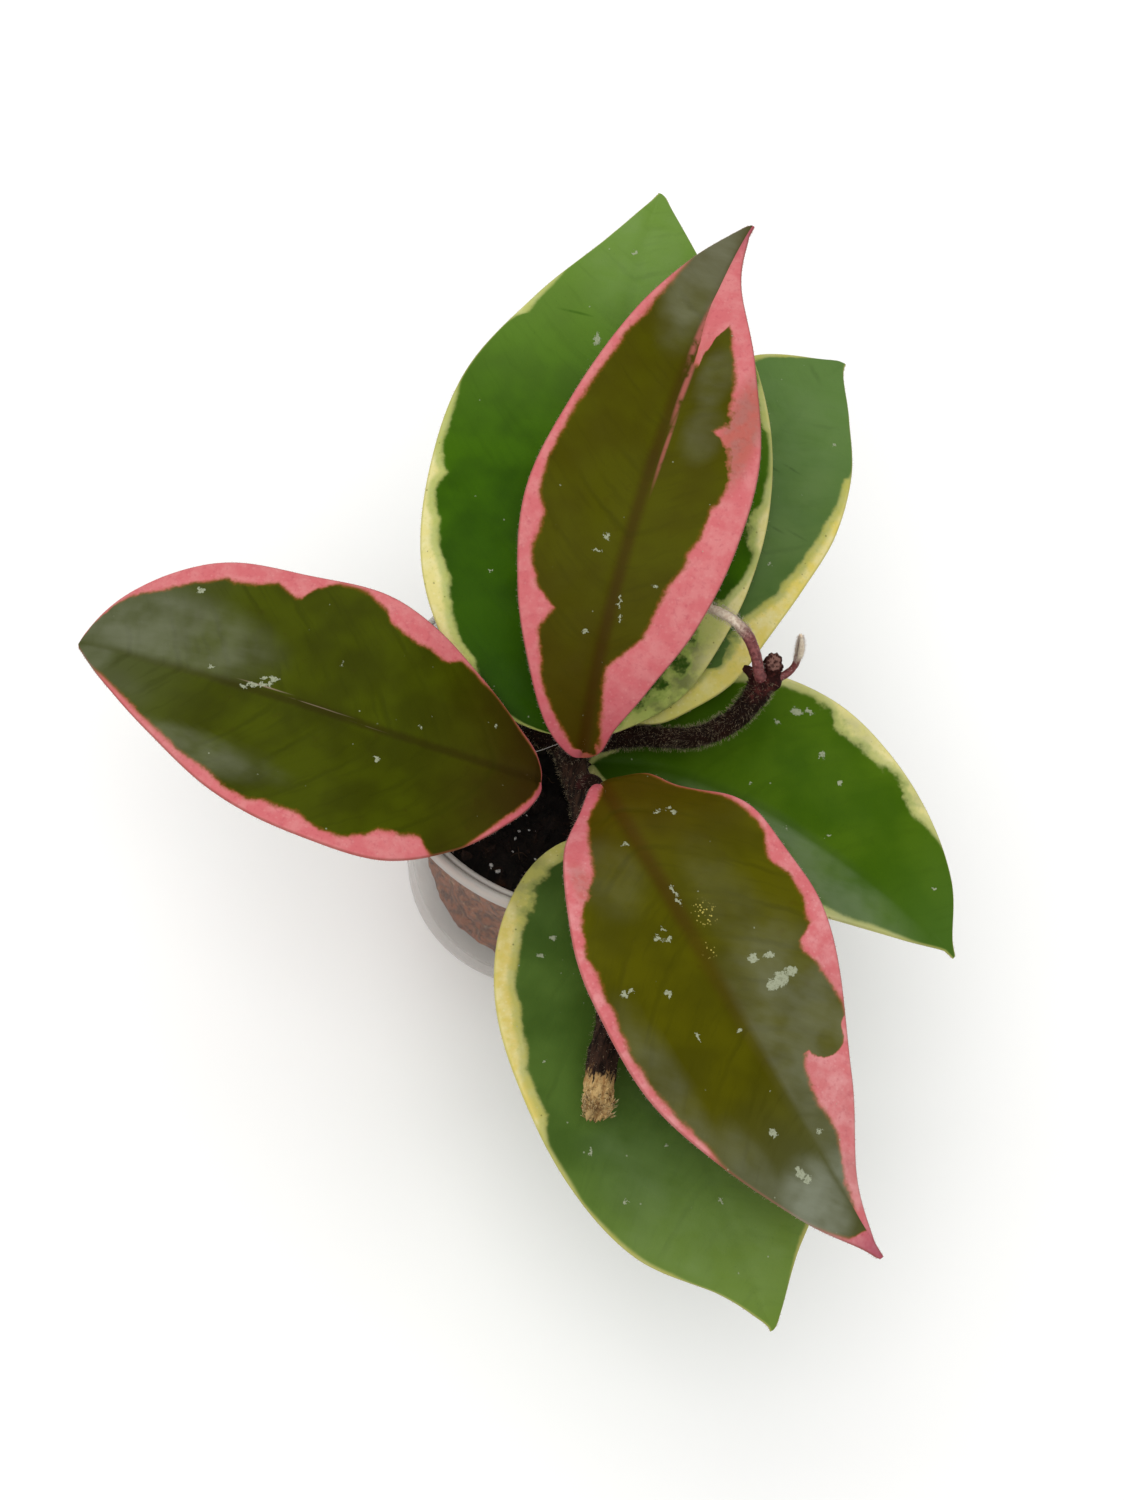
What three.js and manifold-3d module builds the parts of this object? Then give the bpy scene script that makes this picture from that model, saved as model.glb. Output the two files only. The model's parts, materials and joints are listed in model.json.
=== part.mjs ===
// Potted variegated wax plant: seven fleshy leaves, a cut old stem and a young side shoot,
// rooted in a small frosted plastic pot.
// Millimetres, +Z up. The origin is the centre of the pot's flat underside.
import * as THREE from 'three';
import { mergeVertices } from 'three/addons/utils/BufferGeometryUtils.js';
import Module from 'manifold-3d';

const wasm = await Module();
wasm.setup();

// Pot
const POT_HEIGHT = 50;
const RIM_RADIUS = 30;
const RIM_WIDTH = 2.2;
const RIM_DEPTH = 2.4;
const RIM_EDGE = 0.4;
const BODY_TOP_RADIUS = 29.3;
const BODY_BASE_RADIUS = 21.7;
const BASE_EDGE = 0.8;
const WALL = 0.9;
const FLOOR_THICKNESS = 1.4;
const DRAIN_HOLES = 5;
const DRAIN_RADIUS = 2.2;
const DRAIN_CIRCLE = 13.5;
const DRAIN_SIDES = 16;
const POT_SEGMENTS = 48;

// Soil
const SOIL_TOP = 45.6;
const SOIL_CROWN = 0.8;
const SOIL_UNEVENNESS = { height: 0.45, perX: 0.55, perY: 0.45, skew: 0.2 };
const SOIL_RIM_DEPTH = 2;
const SOIL_SHOULDER = { depth: 4, inset: 3 };
const SOIL_SEGMENTS = 36;
const ROOT_BALL_BASE_RADIUS = 17.5;
const ROOT_BALL_TOP_RADIUS = 20;
const ROOT_BALL_TOP = 34;

// Pieces that touch keep this gap, in mm
const SEAT_GAP = 0.3;

// Stems: centre lines, with the radius at equal steps along each
const STEM_SIDES = 10;
const ROOT_STEM = {
  line: [[2.2, -4.2, 22], [1.5, -4.5, 45], [0.3, -5, 51], [-0.9, -5.7, 56.3]],
  radii: [1.5, 1.7, 2, 2.1],
  steps: 9,
};
const TWIG = {
  line: [[-0.9, -5.7, 55.6], [-3.5, -5.1, 55.9], [-6.5, -4.8, 55.4], [-9.5, -6.5, 53.5]],
  radii: [1.5, 1.4, 1.3, 1.2],
  steps: 6,
};
const OLD_STEM = {
  line: [
    [-1.1, -5.8, 56.3], [2.9, -12.7, 57.5], [8.1, -25.1, 59.5], [13, -37.1, 60.8],
    [15.5, -44.4, 61.2], [16.4, -49.6, 61.3], [16.8, -54.8, 61.2], [18.1, -61.5, 61],
  ],
  radii: [2, 2.1, 2, 1.9, 1.9, 1.8, 1.7, 1.8, 2.3, 2.4, 2.2],
  steps: 20,
};
const SIDE_SHOOT = {
  line: [
    [-0.9, -5.7, 56], [5, -2, 56.4], [8.9, -0.8, 57.5], [12.5, -0.6, 59], [16, -0.6, 61.4],
    [18.5, 0, 63.6], [20.9, 1.4, 66.4], [22.6, 3.7, 69], [23.6, 7.3, 71.3],
  ],
  radii: [1.9, 1.7, 1.6, 1.5, 1.5, 1.6, 1.7, 2],
  steps: 18,
};
const SHOOT_NODE = { centre: [23.6, 7.2, 71.2], radius: 2.4, flatness: 0.85 };
const DRY_BUD = {
  line: [[23.7, 7.6, 71.5], [23.9, 8.1, 73.8], [23.9, 8.6, 75.6]],
  radii: [1.3, 1.1, 1.1],
  steps: 3,
};
const STIPULE = {
  line: [[23, 6.8, 71.6], [21.6, 6.6, 72.8], [20.4, 6.5, 73.8]],
  radii: [0.9, 0.6, 0.35],
  steps: 3,
};

// Young folded leaves at the end of the side shoot
const YOUNG_LEAVES = {
  young_leaf_long: {
    line: [
      [23.3, 6.6, 71.6], [22.4, 6.3, 73.4], [21.1, 7.3, 76], [19, 9, 78], [16.7, 10.6, 78.2],
      [14.6, 11.9, 77.2], [12.7, 13, 75.8], [10.9, 14.5, 74],
    ],
    radii: [1, 0.85, 0.8, 0.85, 1.05, 1.05, 1, 0.85, 0.4],
    steps: 18,
  },
  young_leaf_short: {
    line: [
      [24.3, 7.3, 71.8], [25.4, 6.9, 73.3], [26.3, 6.9, 76], [26.5, 7.4, 78.5], [26.3, 7.9, 81],
      [25.9, 8.5, 83.2],
    ],
    radii: [0.8, 0.65, 0.6, 0.6, 0.75, 0.9, 0.8, 0.35],
    steps: 14,
  },
};

// Leaf blades
const BLADE_ROWS = 24;
const BLADE_COLUMNS = 8;
const EDGE_THICKNESS = 0.8;
const CENTRE_SWELL = 0.6;
const KEEL_DEPTH = 0.7;
const KEEL_HALF_WIDTH = 2;
const END_HALF_WIDTH = 0.35;
const FOLD_ROUNDING = 3;
const CURL_REACH = 20;

// Petioles
const PETIOLE_SIDES = 8;
const PETIOLE_STEPS = 10;
const PETIOLE_RADII = [1.4, 1.2, 1.15, 1.15, 1.1, 0.8];
const PETIOLE_SEATS = [{ along: 0.12, depth: 1.1 }, { along: 0.2, depth: 0.9 }];

// Each leaf: the midrib's base, two handles and tip; the half-width on each side, at equal steps
// of the angle that the half circle over the midrib turns through; the fold in degrees and the
// curl of each half's margin in mm; the margin's waves; and the petiole's start and bends.
// Left and right are seen from above, from the base towards the tip.
const LEAVES = {
  leaf_top: {
    midrib: [[1.5, -11, 64.5], [-1.5, -3.5, 82], [-4, 26.5, 97], [2, 65.5, 97]],
    left: [1.5, 5.5, 9.5, 13.5, 16, 14, 10.5, 6, 2],
    right: [1.5, 3.5, 8, 12.5, 15, 14.5, 9, 2.5, 0.5],
    fold: [9, 9],
    curl: [-1.2, -1.2],
    wave: { height: 0.5, count: 2.5, phase: 0.5 },
    petiole: [[-0.9, -6, 56.6], [-0.4, -8.8, 60.2]],
    young: true,
  },
  leaf_front: {
    midrib: [[5, -13.5, 63.5], [13.5, -27, 74], [30.5, -45.5, 73], [60.5, -68, 60]],
    left: [6.5, 10, 16, 18.5, 19, 16, 9.5, 3, 0.5],
    right: [2, 5, 10.5, 14.5, 17.5, 17.5, 13.5, 7.5, 2],
    fold: [8, 8],
    curl: [-1.2, -1.2],
    wave: { height: 0.6, count: 3.5, phase: 2 },
    petiole: [[2.6, -12.6, 57.6], [3.8, -12.4, 61]],
    young: true,
  },
  leaf_left: {
    midrib: [[-3, -15, 61], [-18, -19.5, 69], [-48, -18.5, 70], [-73.5, -15.5, 60]],
    left: [3.5, 8.5, 15, 20, 20, 17, 11.5, 6, 2],
    right: [4, 7.5, 13, 18, 21, 20.5, 18.5, 13.5, 7.5],
    fold: [8, 8],
    curl: [-1.2, -1.2],
    wave: { height: 0.6, count: 2.5, phase: 1 },
    petiole: [[-9, -6.8, 53.8], [-6, -12, 56.2]],
    young: true,
  },
  leaf_back_left: {
    midrib: [[0.5, -5.5, 60], [-5, 13, 70], [-13.5, 39, 80], [-13, 77.5, 84]],
    left: [9, 15.5, 21.5, 25, 25, 22, 14, 6, 1.5],
    right: [6.5, 14.5, 20, 24.5, 26.5, 25, 19.5, 10, 3],
    fold: [4, 4],
    curl: [-2, -1.5],
    wave: { height: 0.4, count: 2, phase: 0 },
    petiole: [[-0.8, -5.6, 56], [-0.2, -3.6, 57.6]],
    young: false,
  },
  leaf_back_right: {
    midrib: [[6, 1, 58], [9.5, 18, 65], [9.5, 40, 69], [23, 71, 66]],
    left: [2, 5.5, 9, 12, 14, 15, 14.5, 11.5, 3.5],
    right: [2.5, 6, 11, 13.5, 15.5, 16, 13, 7, 1.5],
    fold: [4, 4],
    curl: [-1.5, -1.5],
    wave: { height: 0.4, count: 2.5, phase: 1.5 },
    petiole: [[0.5, -4.9, 50.4], [1.9, -1.6, 51.2], [4.8, 0.8, 54.6]],
    young: false,
  },
  leaf_right: {
    midrib: [[4, -5, 52], [19, 0.5, 54], [38.5, -6.5, 57], [63, -18, 53]],
    left: [2, 4.5, 10, 18, 20, 18, 14, 8.5, 2],
    right: [7.5, 11.5, 15, 17, 16.5, 13.5, 8.5, 4, 0.5],
    fold: [15, 15],
    curl: [-0.5, -0.5],
    wave: { height: 0.4, count: 2, phase: 0.7 },
    petiole: [[0.3, -5, 51.6], [2.9, -5, 51]],
    young: false,
  },
  leaf_bottom: {
    midrib: [[8, -14.5, 50], [19, -38.5, 57], [32, -60.5, 57], [50.5, -78, 46]],
    left: [9, 15.5, 22, 25.5, 25, 22, 16.5, 7.5, 2.5],
    right: [8, 14.5, 19.5, 22, 21.5, 19, 14, 5, 1],
    fold: [4, 4],
    curl: [-1.5, -1.5],
    wave: { height: 0.4, count: 2, phase: 2.2 },
    petiole: [[1, -4.8, 48.7], [2.4, -8, 48.4], [5.2, -11.2, 48.6]],
    young: false,
  },
};

const FINISH = {
  pot: { color: '#c4bfb8', roughness: 0.45 },
  soil: { color: '#140f0d', roughness: 0.95 },
  stem: { color: '#35201c', roughness: 0.8 },
  oldStem: { color: '#4a3327', roughness: 0.85 },
  youngLeaf: { color: '#8a4a50', roughness: 0.6 },
  olive: { color: '#5b5413', roughness: 0.35 },
  green: { color: '#48702b', roughness: 0.4 },
};

const UP = new THREE.Vector3(0, 0, 1);

// Solids

function indexOf(geometry) {
  return Array.from(geometry.index.array);
}

function withoutFlatTriangles(index) {
  const kept = [];
  for (let i = 0; i < index.length; i += 3) {
    const [a, b, c] = index.slice(i, i + 3);
    if (a !== b && b !== c && c !== a) kept.push(a, b, c);
  }
  return kept;
}

function solidOf(geometry) {
  const bare = geometry.clone();
  bare.deleteAttribute('normal');
  bare.deleteAttribute('uv');
  const merged = mergeVertices(bare, 1e-4);
  return new wasm.Manifold(new wasm.Mesh({
    numProp: 3,
    vertProperties: new Float32Array(merged.attributes.position.array),
    triVerts: new Uint32Array(withoutFlatTriangles(indexOf(merged))),
  }));
}

// Cuts a piece back from what carries it, and drops loose scraps left inside the carrier
function clearOf(solid, carriers) {
  const cut = carriers.reduce((left, carrier) => left.subtract(carrier), solid);
  return cut.decompose().sort((a, b) => b.volume() - a.volume())[0];
}

function geometryOf(solid) {
  const mesh = solid.getMesh();
  const geometry = new THREE.BufferGeometry();
  geometry.setAttribute('position', new THREE.BufferAttribute(mesh.vertProperties, 3));
  geometry.setIndex(new THREE.BufferAttribute(mesh.triVerts, 1));
  geometry.computeVertexNormals();
  return geometry;
}

function mesh(name, geometry, finish) {
  const made = new THREE.Mesh(geometry, new THREE.MeshStandardMaterial({ ...finish, metalness: 0 }));
  made.name = name;
  return made;
}

// Lists of sizes along a line

function sample(values, position) {
  const last = values.length - 1;
  const i = Math.min(Math.floor(position * last), last - 1);
  return THREE.MathUtils.lerp(values[i], values[i + 1], position * last - i);
}

function smoothSample(values, position) {
  const last = values.length - 1;
  const i = Math.min(Math.floor(position * last), last - 1);
  const f = position * last - i;
  const before = i > 0 ? values[i - 1] : -values[1];
  const after = i + 2 <= last ? values[i + 2] : -values[last - 1];
  const slopeStart = (values[i + 1] - before) / 2;
  const slopeEnd = (after - values[i]) / 2;
  const rise = values[i + 1] - values[i];
  return values[i] + f * (slopeStart + f * ((3 * rise - 2 * slopeStart - slopeEnd)
    + f * (slopeStart + slopeEnd - 2 * rise)));
}

// A round stem bent along its line

function curveOf(points) {
  return new THREE.CatmullRomCurve3(points.map((p) => new THREE.Vector3(...p)), false, 'centripetal');
}

function bentRod({ line, radii, steps }, sides, extra = 0) {
  const curve = curveOf(line);
  const frames = curve.computeFrenetFrames(steps, false);
  const rod = new THREE.CylinderGeometry(1, 1, 1, sides, steps);
  const spots = rod.attributes.position;
  for (let i = 0; i < spots.count; i += 1) {
    const along = spots.getY(i) + 0.5;
    const step = Math.round(along * steps);
    const radius = sample(radii, along) + extra;
    const overrun = extra * (step === steps ? 1 : 0) - extra * (step === 0 ? 1 : 0);
    const spot = curve.getPointAt(along)
      .addScaledVector(frames.tangents[step], overrun)
      .addScaledVector(frames.binormals[step], spots.getX(i) * radius)
      .addScaledVector(frames.normals[step], spots.getZ(i) * radius);
    spots.setXYZ(i, spot.x, spot.y, spot.z);
  }
  return solidOf(rod);
}

// Pot and soil

function potSolid() {
  const bodyInside = BODY_TOP_RADIUS - WALL;
  const rimInside = RIM_RADIUS - RIM_WIDTH;
  const rimBase = POT_HEIGHT - RIM_DEPTH;
  const profile = [
    [0, 0], [BODY_BASE_RADIUS - BASE_EDGE, 0], [BODY_BASE_RADIUS, BASE_EDGE],
    [BODY_TOP_RADIUS, rimBase - RIM_EDGE], [RIM_RADIUS, rimBase],
    [RIM_RADIUS, POT_HEIGHT - RIM_EDGE], [RIM_RADIUS - RIM_EDGE, POT_HEIGHT],
    [rimInside + RIM_EDGE, POT_HEIGHT], [rimInside, POT_HEIGHT - RIM_EDGE],
    [rimInside, rimBase], [bodyInside, rimBase - RIM_EDGE],
    [BODY_BASE_RADIUS - WALL, FLOOR_THICKNESS + BASE_EDGE],
    [BODY_BASE_RADIUS - WALL - BASE_EDGE, FLOOR_THICKNESS], [0, FLOOR_THICKNESS],
  ];
  let pot = solidOf(latheAboutZ(profile, POT_SEGMENTS));
  for (let i = 0; i < DRAIN_HOLES; i += 1) {
    const angle = (i / DRAIN_HOLES) * 2 * Math.PI;
    const hole = new THREE.CylinderGeometry(DRAIN_RADIUS, DRAIN_RADIUS, 4 * FLOOR_THICKNESS, DRAIN_SIDES);
    hole.rotateX(Math.PI / 2);
    hole.translate(DRAIN_CIRCLE * Math.cos(angle), DRAIN_CIRCLE * Math.sin(angle), 0);
    pot = pot.subtract(solidOf(hole));
  }
  return pot;
}

function latheAboutZ(profile, segments) {
  const lathe = new THREE.LatheGeometry(profile.map(([r, z]) => new THREE.Vector2(r, z)), segments);
  lathe.rotateX(Math.PI / 2);
  return lathe;
}

function soilSolid() {
  const edge = RIM_RADIUS - RIM_WIDTH - SEAT_GAP;
  const floor = FLOOR_THICKNESS + SEAT_GAP;
  const crown = [1, 0.8, 0.6, 0.3, 0].map((share) => (
    [edge * share, SOIL_TOP + SOIL_CROWN * (1 - share ** 2)]
  ));
  const profile = [
    [0, floor], [ROOT_BALL_BASE_RADIUS, floor], [ROOT_BALL_TOP_RADIUS, ROOT_BALL_TOP],
    [edge - SOIL_SHOULDER.inset, SOIL_TOP - SOIL_SHOULDER.depth], [edge, SOIL_TOP - SOIL_RIM_DEPTH],
    ...crown,
  ];
  const lump = latheAboutZ(profile, SOIL_SEGMENTS);
  const spots = lump.attributes.position;
  const { height, perX, perY, skew } = SOIL_UNEVENNESS;
  for (let i = 0; i < spots.count; i += 1) {
    const [x, y, z] = [spots.getX(i), spots.getY(i), spots.getZ(i)];
    const uneven = height * Math.sin(perX * x + 1) * Math.cos(perY * y + skew * x);
    if (z >= SOIL_TOP) spots.setZ(i, z + uneven);
  }
  return solidOf(lump).subtract(bentRod(ROOT_STEM, STEM_SIDES, SEAT_GAP));
}

// Leaf blades

function bladeFrame(leaf, along) {
  const [base, near, far, tip] = leaf.midrib.map((p) => new THREE.Vector3(...p));
  const midrib = new THREE.CubicBezierCurve3(base, near, far, tip);
  const t = (1 - Math.cos(Math.PI * along)) / 2;
  const forward = midrib.getTangent(t);
  const across = forward.clone().cross(UP).normalize();
  return { centre: midrib.getPoint(t), forward, across, normal: across.clone().cross(forward), t };
}

function halfWidth(leaf, side, along) {
  return Math.max(smoothSample([0, ...(side < 0 ? leaf.left : leaf.right), 0], along), END_HALF_WIDTH);
}

function bladePoint(leaf, along, side, face) {
  const { centre, across, normal, t } = bladeFrame(leaf, along);
  const width = halfWidth(leaf, side, along);
  const s = side * width;
  const half = side < 0 ? 0 : 1;
  const fold = Math.tan(THREE.MathUtils.degToRad(leaf.fold[half]));
  const ripple = leaf.wave.height * Math.sin(2 * Math.PI * leaf.wave.count * t + leaf.wave.phase);
  const lift = fold * (Math.hypot(s, FOLD_ROUNDING) - FOLD_ROUNDING)
    + leaf.curl[half] * (s / CURL_REACH) ** 2
    + ripple * side ** 2 * Math.min(1, width / CURL_REACH * 2);
  const swell = CENTRE_SWELL * (1 - side ** 2) * Math.min(1, width / 4);
  const keel = face < 0 ? KEEL_DEPTH * (1 - t) * Math.max(0, 1 - Math.abs(s) / KEEL_HALF_WIDTH) : 0;
  const rise = lift + face * (EDGE_THICKNESS + swell) / 2 - keel;
  return centre.addScaledVector(across, s).addScaledVector(normal, rise);
}

function bladeGeometry(leaf) {
  const grid = new THREE.PlaneGeometry(2, 1, BLADE_COLUMNS, BLADE_ROWS);
  const spots = grid.attributes.position;
  const count = spots.count;
  const points = [];
  for (const face of [1, -1]) {
    for (let i = 0; i < count; i += 1) {
      points.push(...bladePoint(leaf, spots.getY(i) + 0.5, spots.getX(i), face).toArray());
    }
  }
  const top = indexOf(grid);
  const index = [...top];
  for (let i = 0; i < top.length; i += 3) {
    index.push(top[i] + count, top[i + 2] + count, top[i + 1] + count);
  }
  const rim = rimOfGrid();
  rim.forEach((a, i) => {
    const b = rim[(i + 1) % rim.length];
    index.push(a, b, b + count, a, b + count, a + count);
  });
  const blade = new THREE.BufferGeometry();
  blade.setAttribute('position', new THREE.Float32BufferAttribute(points, 3));
  blade.setIndex(index);
  return blade;
}

function rimOfGrid() {
  const row = BLADE_COLUMNS + 1;
  const rim = [];
  for (let c = 0; c < BLADE_COLUMNS; c += 1) rim.push(c);
  for (let r = 0; r < BLADE_ROWS; r += 1) rim.push(r * row + BLADE_COLUMNS);
  for (let c = BLADE_COLUMNS; c > 0; c -= 1) rim.push(BLADE_ROWS * row + c);
  for (let r = BLADE_ROWS; r > 0; r -= 1) rim.push(r * row);
  return rim;
}

function petioleSolid(leaf) {
  const underBlade = PETIOLE_SEATS.map(({ along, depth }) => {
    const { centre, normal } = bladeFrame(leaf, along);
    return centre.addScaledVector(normal, -depth).toArray();
  });
  const rod = { line: [...leaf.petiole, ...underBlade], radii: PETIOLE_RADII, steps: PETIOLE_STEPS };
  return bentRod(rod, PETIOLE_SIDES);
}

function leafSolid(leaf, carriers) {
  const whole = solidOf(bladeGeometry(leaf)).add(petioleSolid(leaf));
  return clearOf(whole, carriers);
}

// Stems and young growth

function rootedStemSolid(extra = 0) {
  return bentRod(ROOT_STEM, STEM_SIDES, extra).add(bentRod(TWIG, STEM_SIDES, extra));
}

function shootSolid(extra = 0) {
  const { centre, radius, flatness } = SHOOT_NODE;
  const node = new THREE.SphereGeometry(radius + extra, STEM_SIDES, STEM_SIDES);
  node.scale(1, 1, flatness);
  node.translate(...centre);
  return bentRod(SIDE_SHOOT, STEM_SIDES, extra)
    .add(solidOf(node))
    .add(bentRod(DRY_BUD, STEM_SIDES, extra))
    .add(bentRod(STIPULE, STEM_SIDES, extra));
}

const rootedStemRoom = rootedStemSolid(SEAT_GAP);
const oldStemRoom = bentRod(OLD_STEM, STEM_SIDES, SEAT_GAP);
const shootRoom = shootSolid(SEAT_GAP);

const group = new THREE.Group();
group.add(mesh('pot', geometryOf(potSolid()), FINISH.pot));
group.add(mesh('soil', geometryOf(soilSolid()), FINISH.soil));
group.add(mesh('rooted_stem', geometryOf(rootedStemSolid()), FINISH.stem));
const oldStem = clearOf(bentRod(OLD_STEM, STEM_SIDES), [rootedStemRoom]);
group.add(mesh('old_stem', geometryOf(oldStem), FINISH.oldStem));
const sideShoot = clearOf(shootSolid(), [rootedStemRoom, oldStemRoom]);
group.add(mesh('side_shoot', geometryOf(sideShoot), FINISH.stem));
for (const [name, rod] of Object.entries(YOUNG_LEAVES)) {
  const youngLeaf = clearOf(bentRod(rod, PETIOLE_SIDES), [shootRoom]);
  group.add(mesh(name, geometryOf(youngLeaf), FINISH.youngLeaf));
}
for (const [name, leaf] of Object.entries(LEAVES)) {
  const solid = leafSolid(leaf, [rootedStemRoom, oldStemRoom, shootRoom]);
  group.add(mesh(name, geometryOf(solid), leaf.young ? FINISH.olive : FINISH.green));
}

export default group;
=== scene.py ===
"""Looks for a potted wax plant: seven variegated leaves, hairy stems and a frosted pot.

Sizes are in millimetres until a piece is finished, and the origin is the centre of the pot's
underside.
"""

import json
import math
import random

import bmesh
import bpy
from bpy.props import FloatProperty, FloatVectorProperty, IntProperty, PointerProperty
from mathutils import Matrix, Vector, noise

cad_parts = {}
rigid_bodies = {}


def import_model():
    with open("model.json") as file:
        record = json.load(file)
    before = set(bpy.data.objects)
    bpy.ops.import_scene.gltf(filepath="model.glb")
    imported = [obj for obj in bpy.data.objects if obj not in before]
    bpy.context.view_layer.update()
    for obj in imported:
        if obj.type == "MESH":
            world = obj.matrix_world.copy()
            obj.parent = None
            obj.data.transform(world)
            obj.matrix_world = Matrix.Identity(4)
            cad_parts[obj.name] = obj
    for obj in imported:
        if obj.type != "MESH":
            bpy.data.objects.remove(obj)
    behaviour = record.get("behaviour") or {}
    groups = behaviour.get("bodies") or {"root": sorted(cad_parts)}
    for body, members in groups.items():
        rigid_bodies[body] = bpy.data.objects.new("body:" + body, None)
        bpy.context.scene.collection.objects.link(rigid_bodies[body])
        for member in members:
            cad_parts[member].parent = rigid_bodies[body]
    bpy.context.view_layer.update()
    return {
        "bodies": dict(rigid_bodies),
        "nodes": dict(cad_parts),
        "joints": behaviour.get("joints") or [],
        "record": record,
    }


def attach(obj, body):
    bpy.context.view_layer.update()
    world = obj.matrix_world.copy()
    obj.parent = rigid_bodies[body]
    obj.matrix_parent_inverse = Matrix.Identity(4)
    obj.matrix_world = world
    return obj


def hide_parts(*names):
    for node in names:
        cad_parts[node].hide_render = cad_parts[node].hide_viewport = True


bl_info = {
    "name": "Potted Wax Plant",
    "version": (1, 0, 0),
    "blender": (4, 5, 0),
    "location": "3D View > Sidebar > Wax Plant",
    "description": "Builds a variegated wax plant in a frosted pot around its packed solids",
    "category": "Object",
}

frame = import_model()

MM = 0.001
UP = Vector((0, 0, 1))
MERGE_DISTANCE = 1e-4


# Colours and lists of sizes

LIGHT_LEVEL = 1.16


def tint(red, green, blue):
    """A linear colour that looks like the three 0 to 255 screen values under the stage's light."""
    shares = [value / 255 for value in (red, green, blue)]
    linear = [s / 12.92 if s <= 0.04045 else ((s + 0.055) / 1.055) ** 2.4 for s in shares]
    return tuple(value / LIGHT_LEVEL for value in linear)


def dimmed(colour, share):
    return tuple(value * share for value in colour)


def smooth_step(low, high, value):
    share = min(max((value - low) / (high - low), 0.0), 1.0)
    return share * share * (3 - 2 * share)


def between(values, position):
    """A value at a 0 to 1 position along equally spaced values."""
    last = len(values) - 1
    i = min(int(position * last), last - 1)
    return values[i] + (values[i + 1] - values[i]) * (position * last - i)


def smooth_between(values, position):
    """As between, on a smooth curve that mirrors the list at its ends."""
    last = len(values) - 1
    i = min(int(position * last), last - 1)
    f = position * last - i
    before = values[i - 1] if i > 0 else -values[1]
    after = values[i + 2] if i + 2 <= last else -values[last - 1]
    slope_start = (values[i + 1] - before) / 2
    slope_end = (after - values[i]) / 2
    rise = values[i + 1] - values[i]
    return values[i] + f * (slope_start + f * (
        (3 * rise - 2 * slope_start - slope_end) + f * (slope_start + slope_end - 2 * rise)))


def at_place(pairs, place):
    """A value at a place in mm from a list of (place, value) pairs."""
    if place <= pairs[0][0]:
        return pairs[0][1]
    for (a, low), (b, high) in zip(pairs, pairs[1:]):
        if place <= b:
            return low + (high - low) * (place - a) / (b - a)
    return pairs[-1][1]


# Shader maths

class Reading:
    """One shader socket. Sums on readings add Math nodes."""

    def __init__(self, finish, socket):
        self.finish = finish
        self.socket = socket

    def maths(self, operation, *values):
        return self.finish.node(
            "ShaderNodeMath", {"operation": operation}, dict(enumerate(values)))

    def __add__(self, other):
        return self.maths("ADD", self, other)

    def __radd__(self, other):
        return self.maths("ADD", other, self)

    def __sub__(self, other):
        return self.maths("SUBTRACT", self, other)

    def __rsub__(self, other):
        return self.maths("SUBTRACT", other, self)

    def __mul__(self, other):
        return self.maths("MULTIPLY", self, other)

    def __rmul__(self, other):
        return self.maths("MULTIPLY", other, self)

    def __truediv__(self, other):
        return self.maths("DIVIDE", self, other)

    def __rtruediv__(self, other):
        return self.maths("DIVIDE", other, self)

    def __abs__(self):
        return self.maths("ABSOLUTE", self)

    def least(self, other):
        return self.maths("MINIMUM", self, other)

    def most(self, other):
        return self.maths("MAXIMUM", self, other)

    def fraction(self):
        return self.maths("FRACT", self)

    def rise(self, low, high):
        """0 below low and 1 above high, with a smooth step between them."""
        return self.finish.node(
            "ShaderNodeMapRange", {"interpolation_type": "SMOOTHSTEP"},
            {"Value": self, "From Min": low, "From Max": high})

    def fall(self, low, high):
        return 1 - self.rise(low, high)


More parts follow.
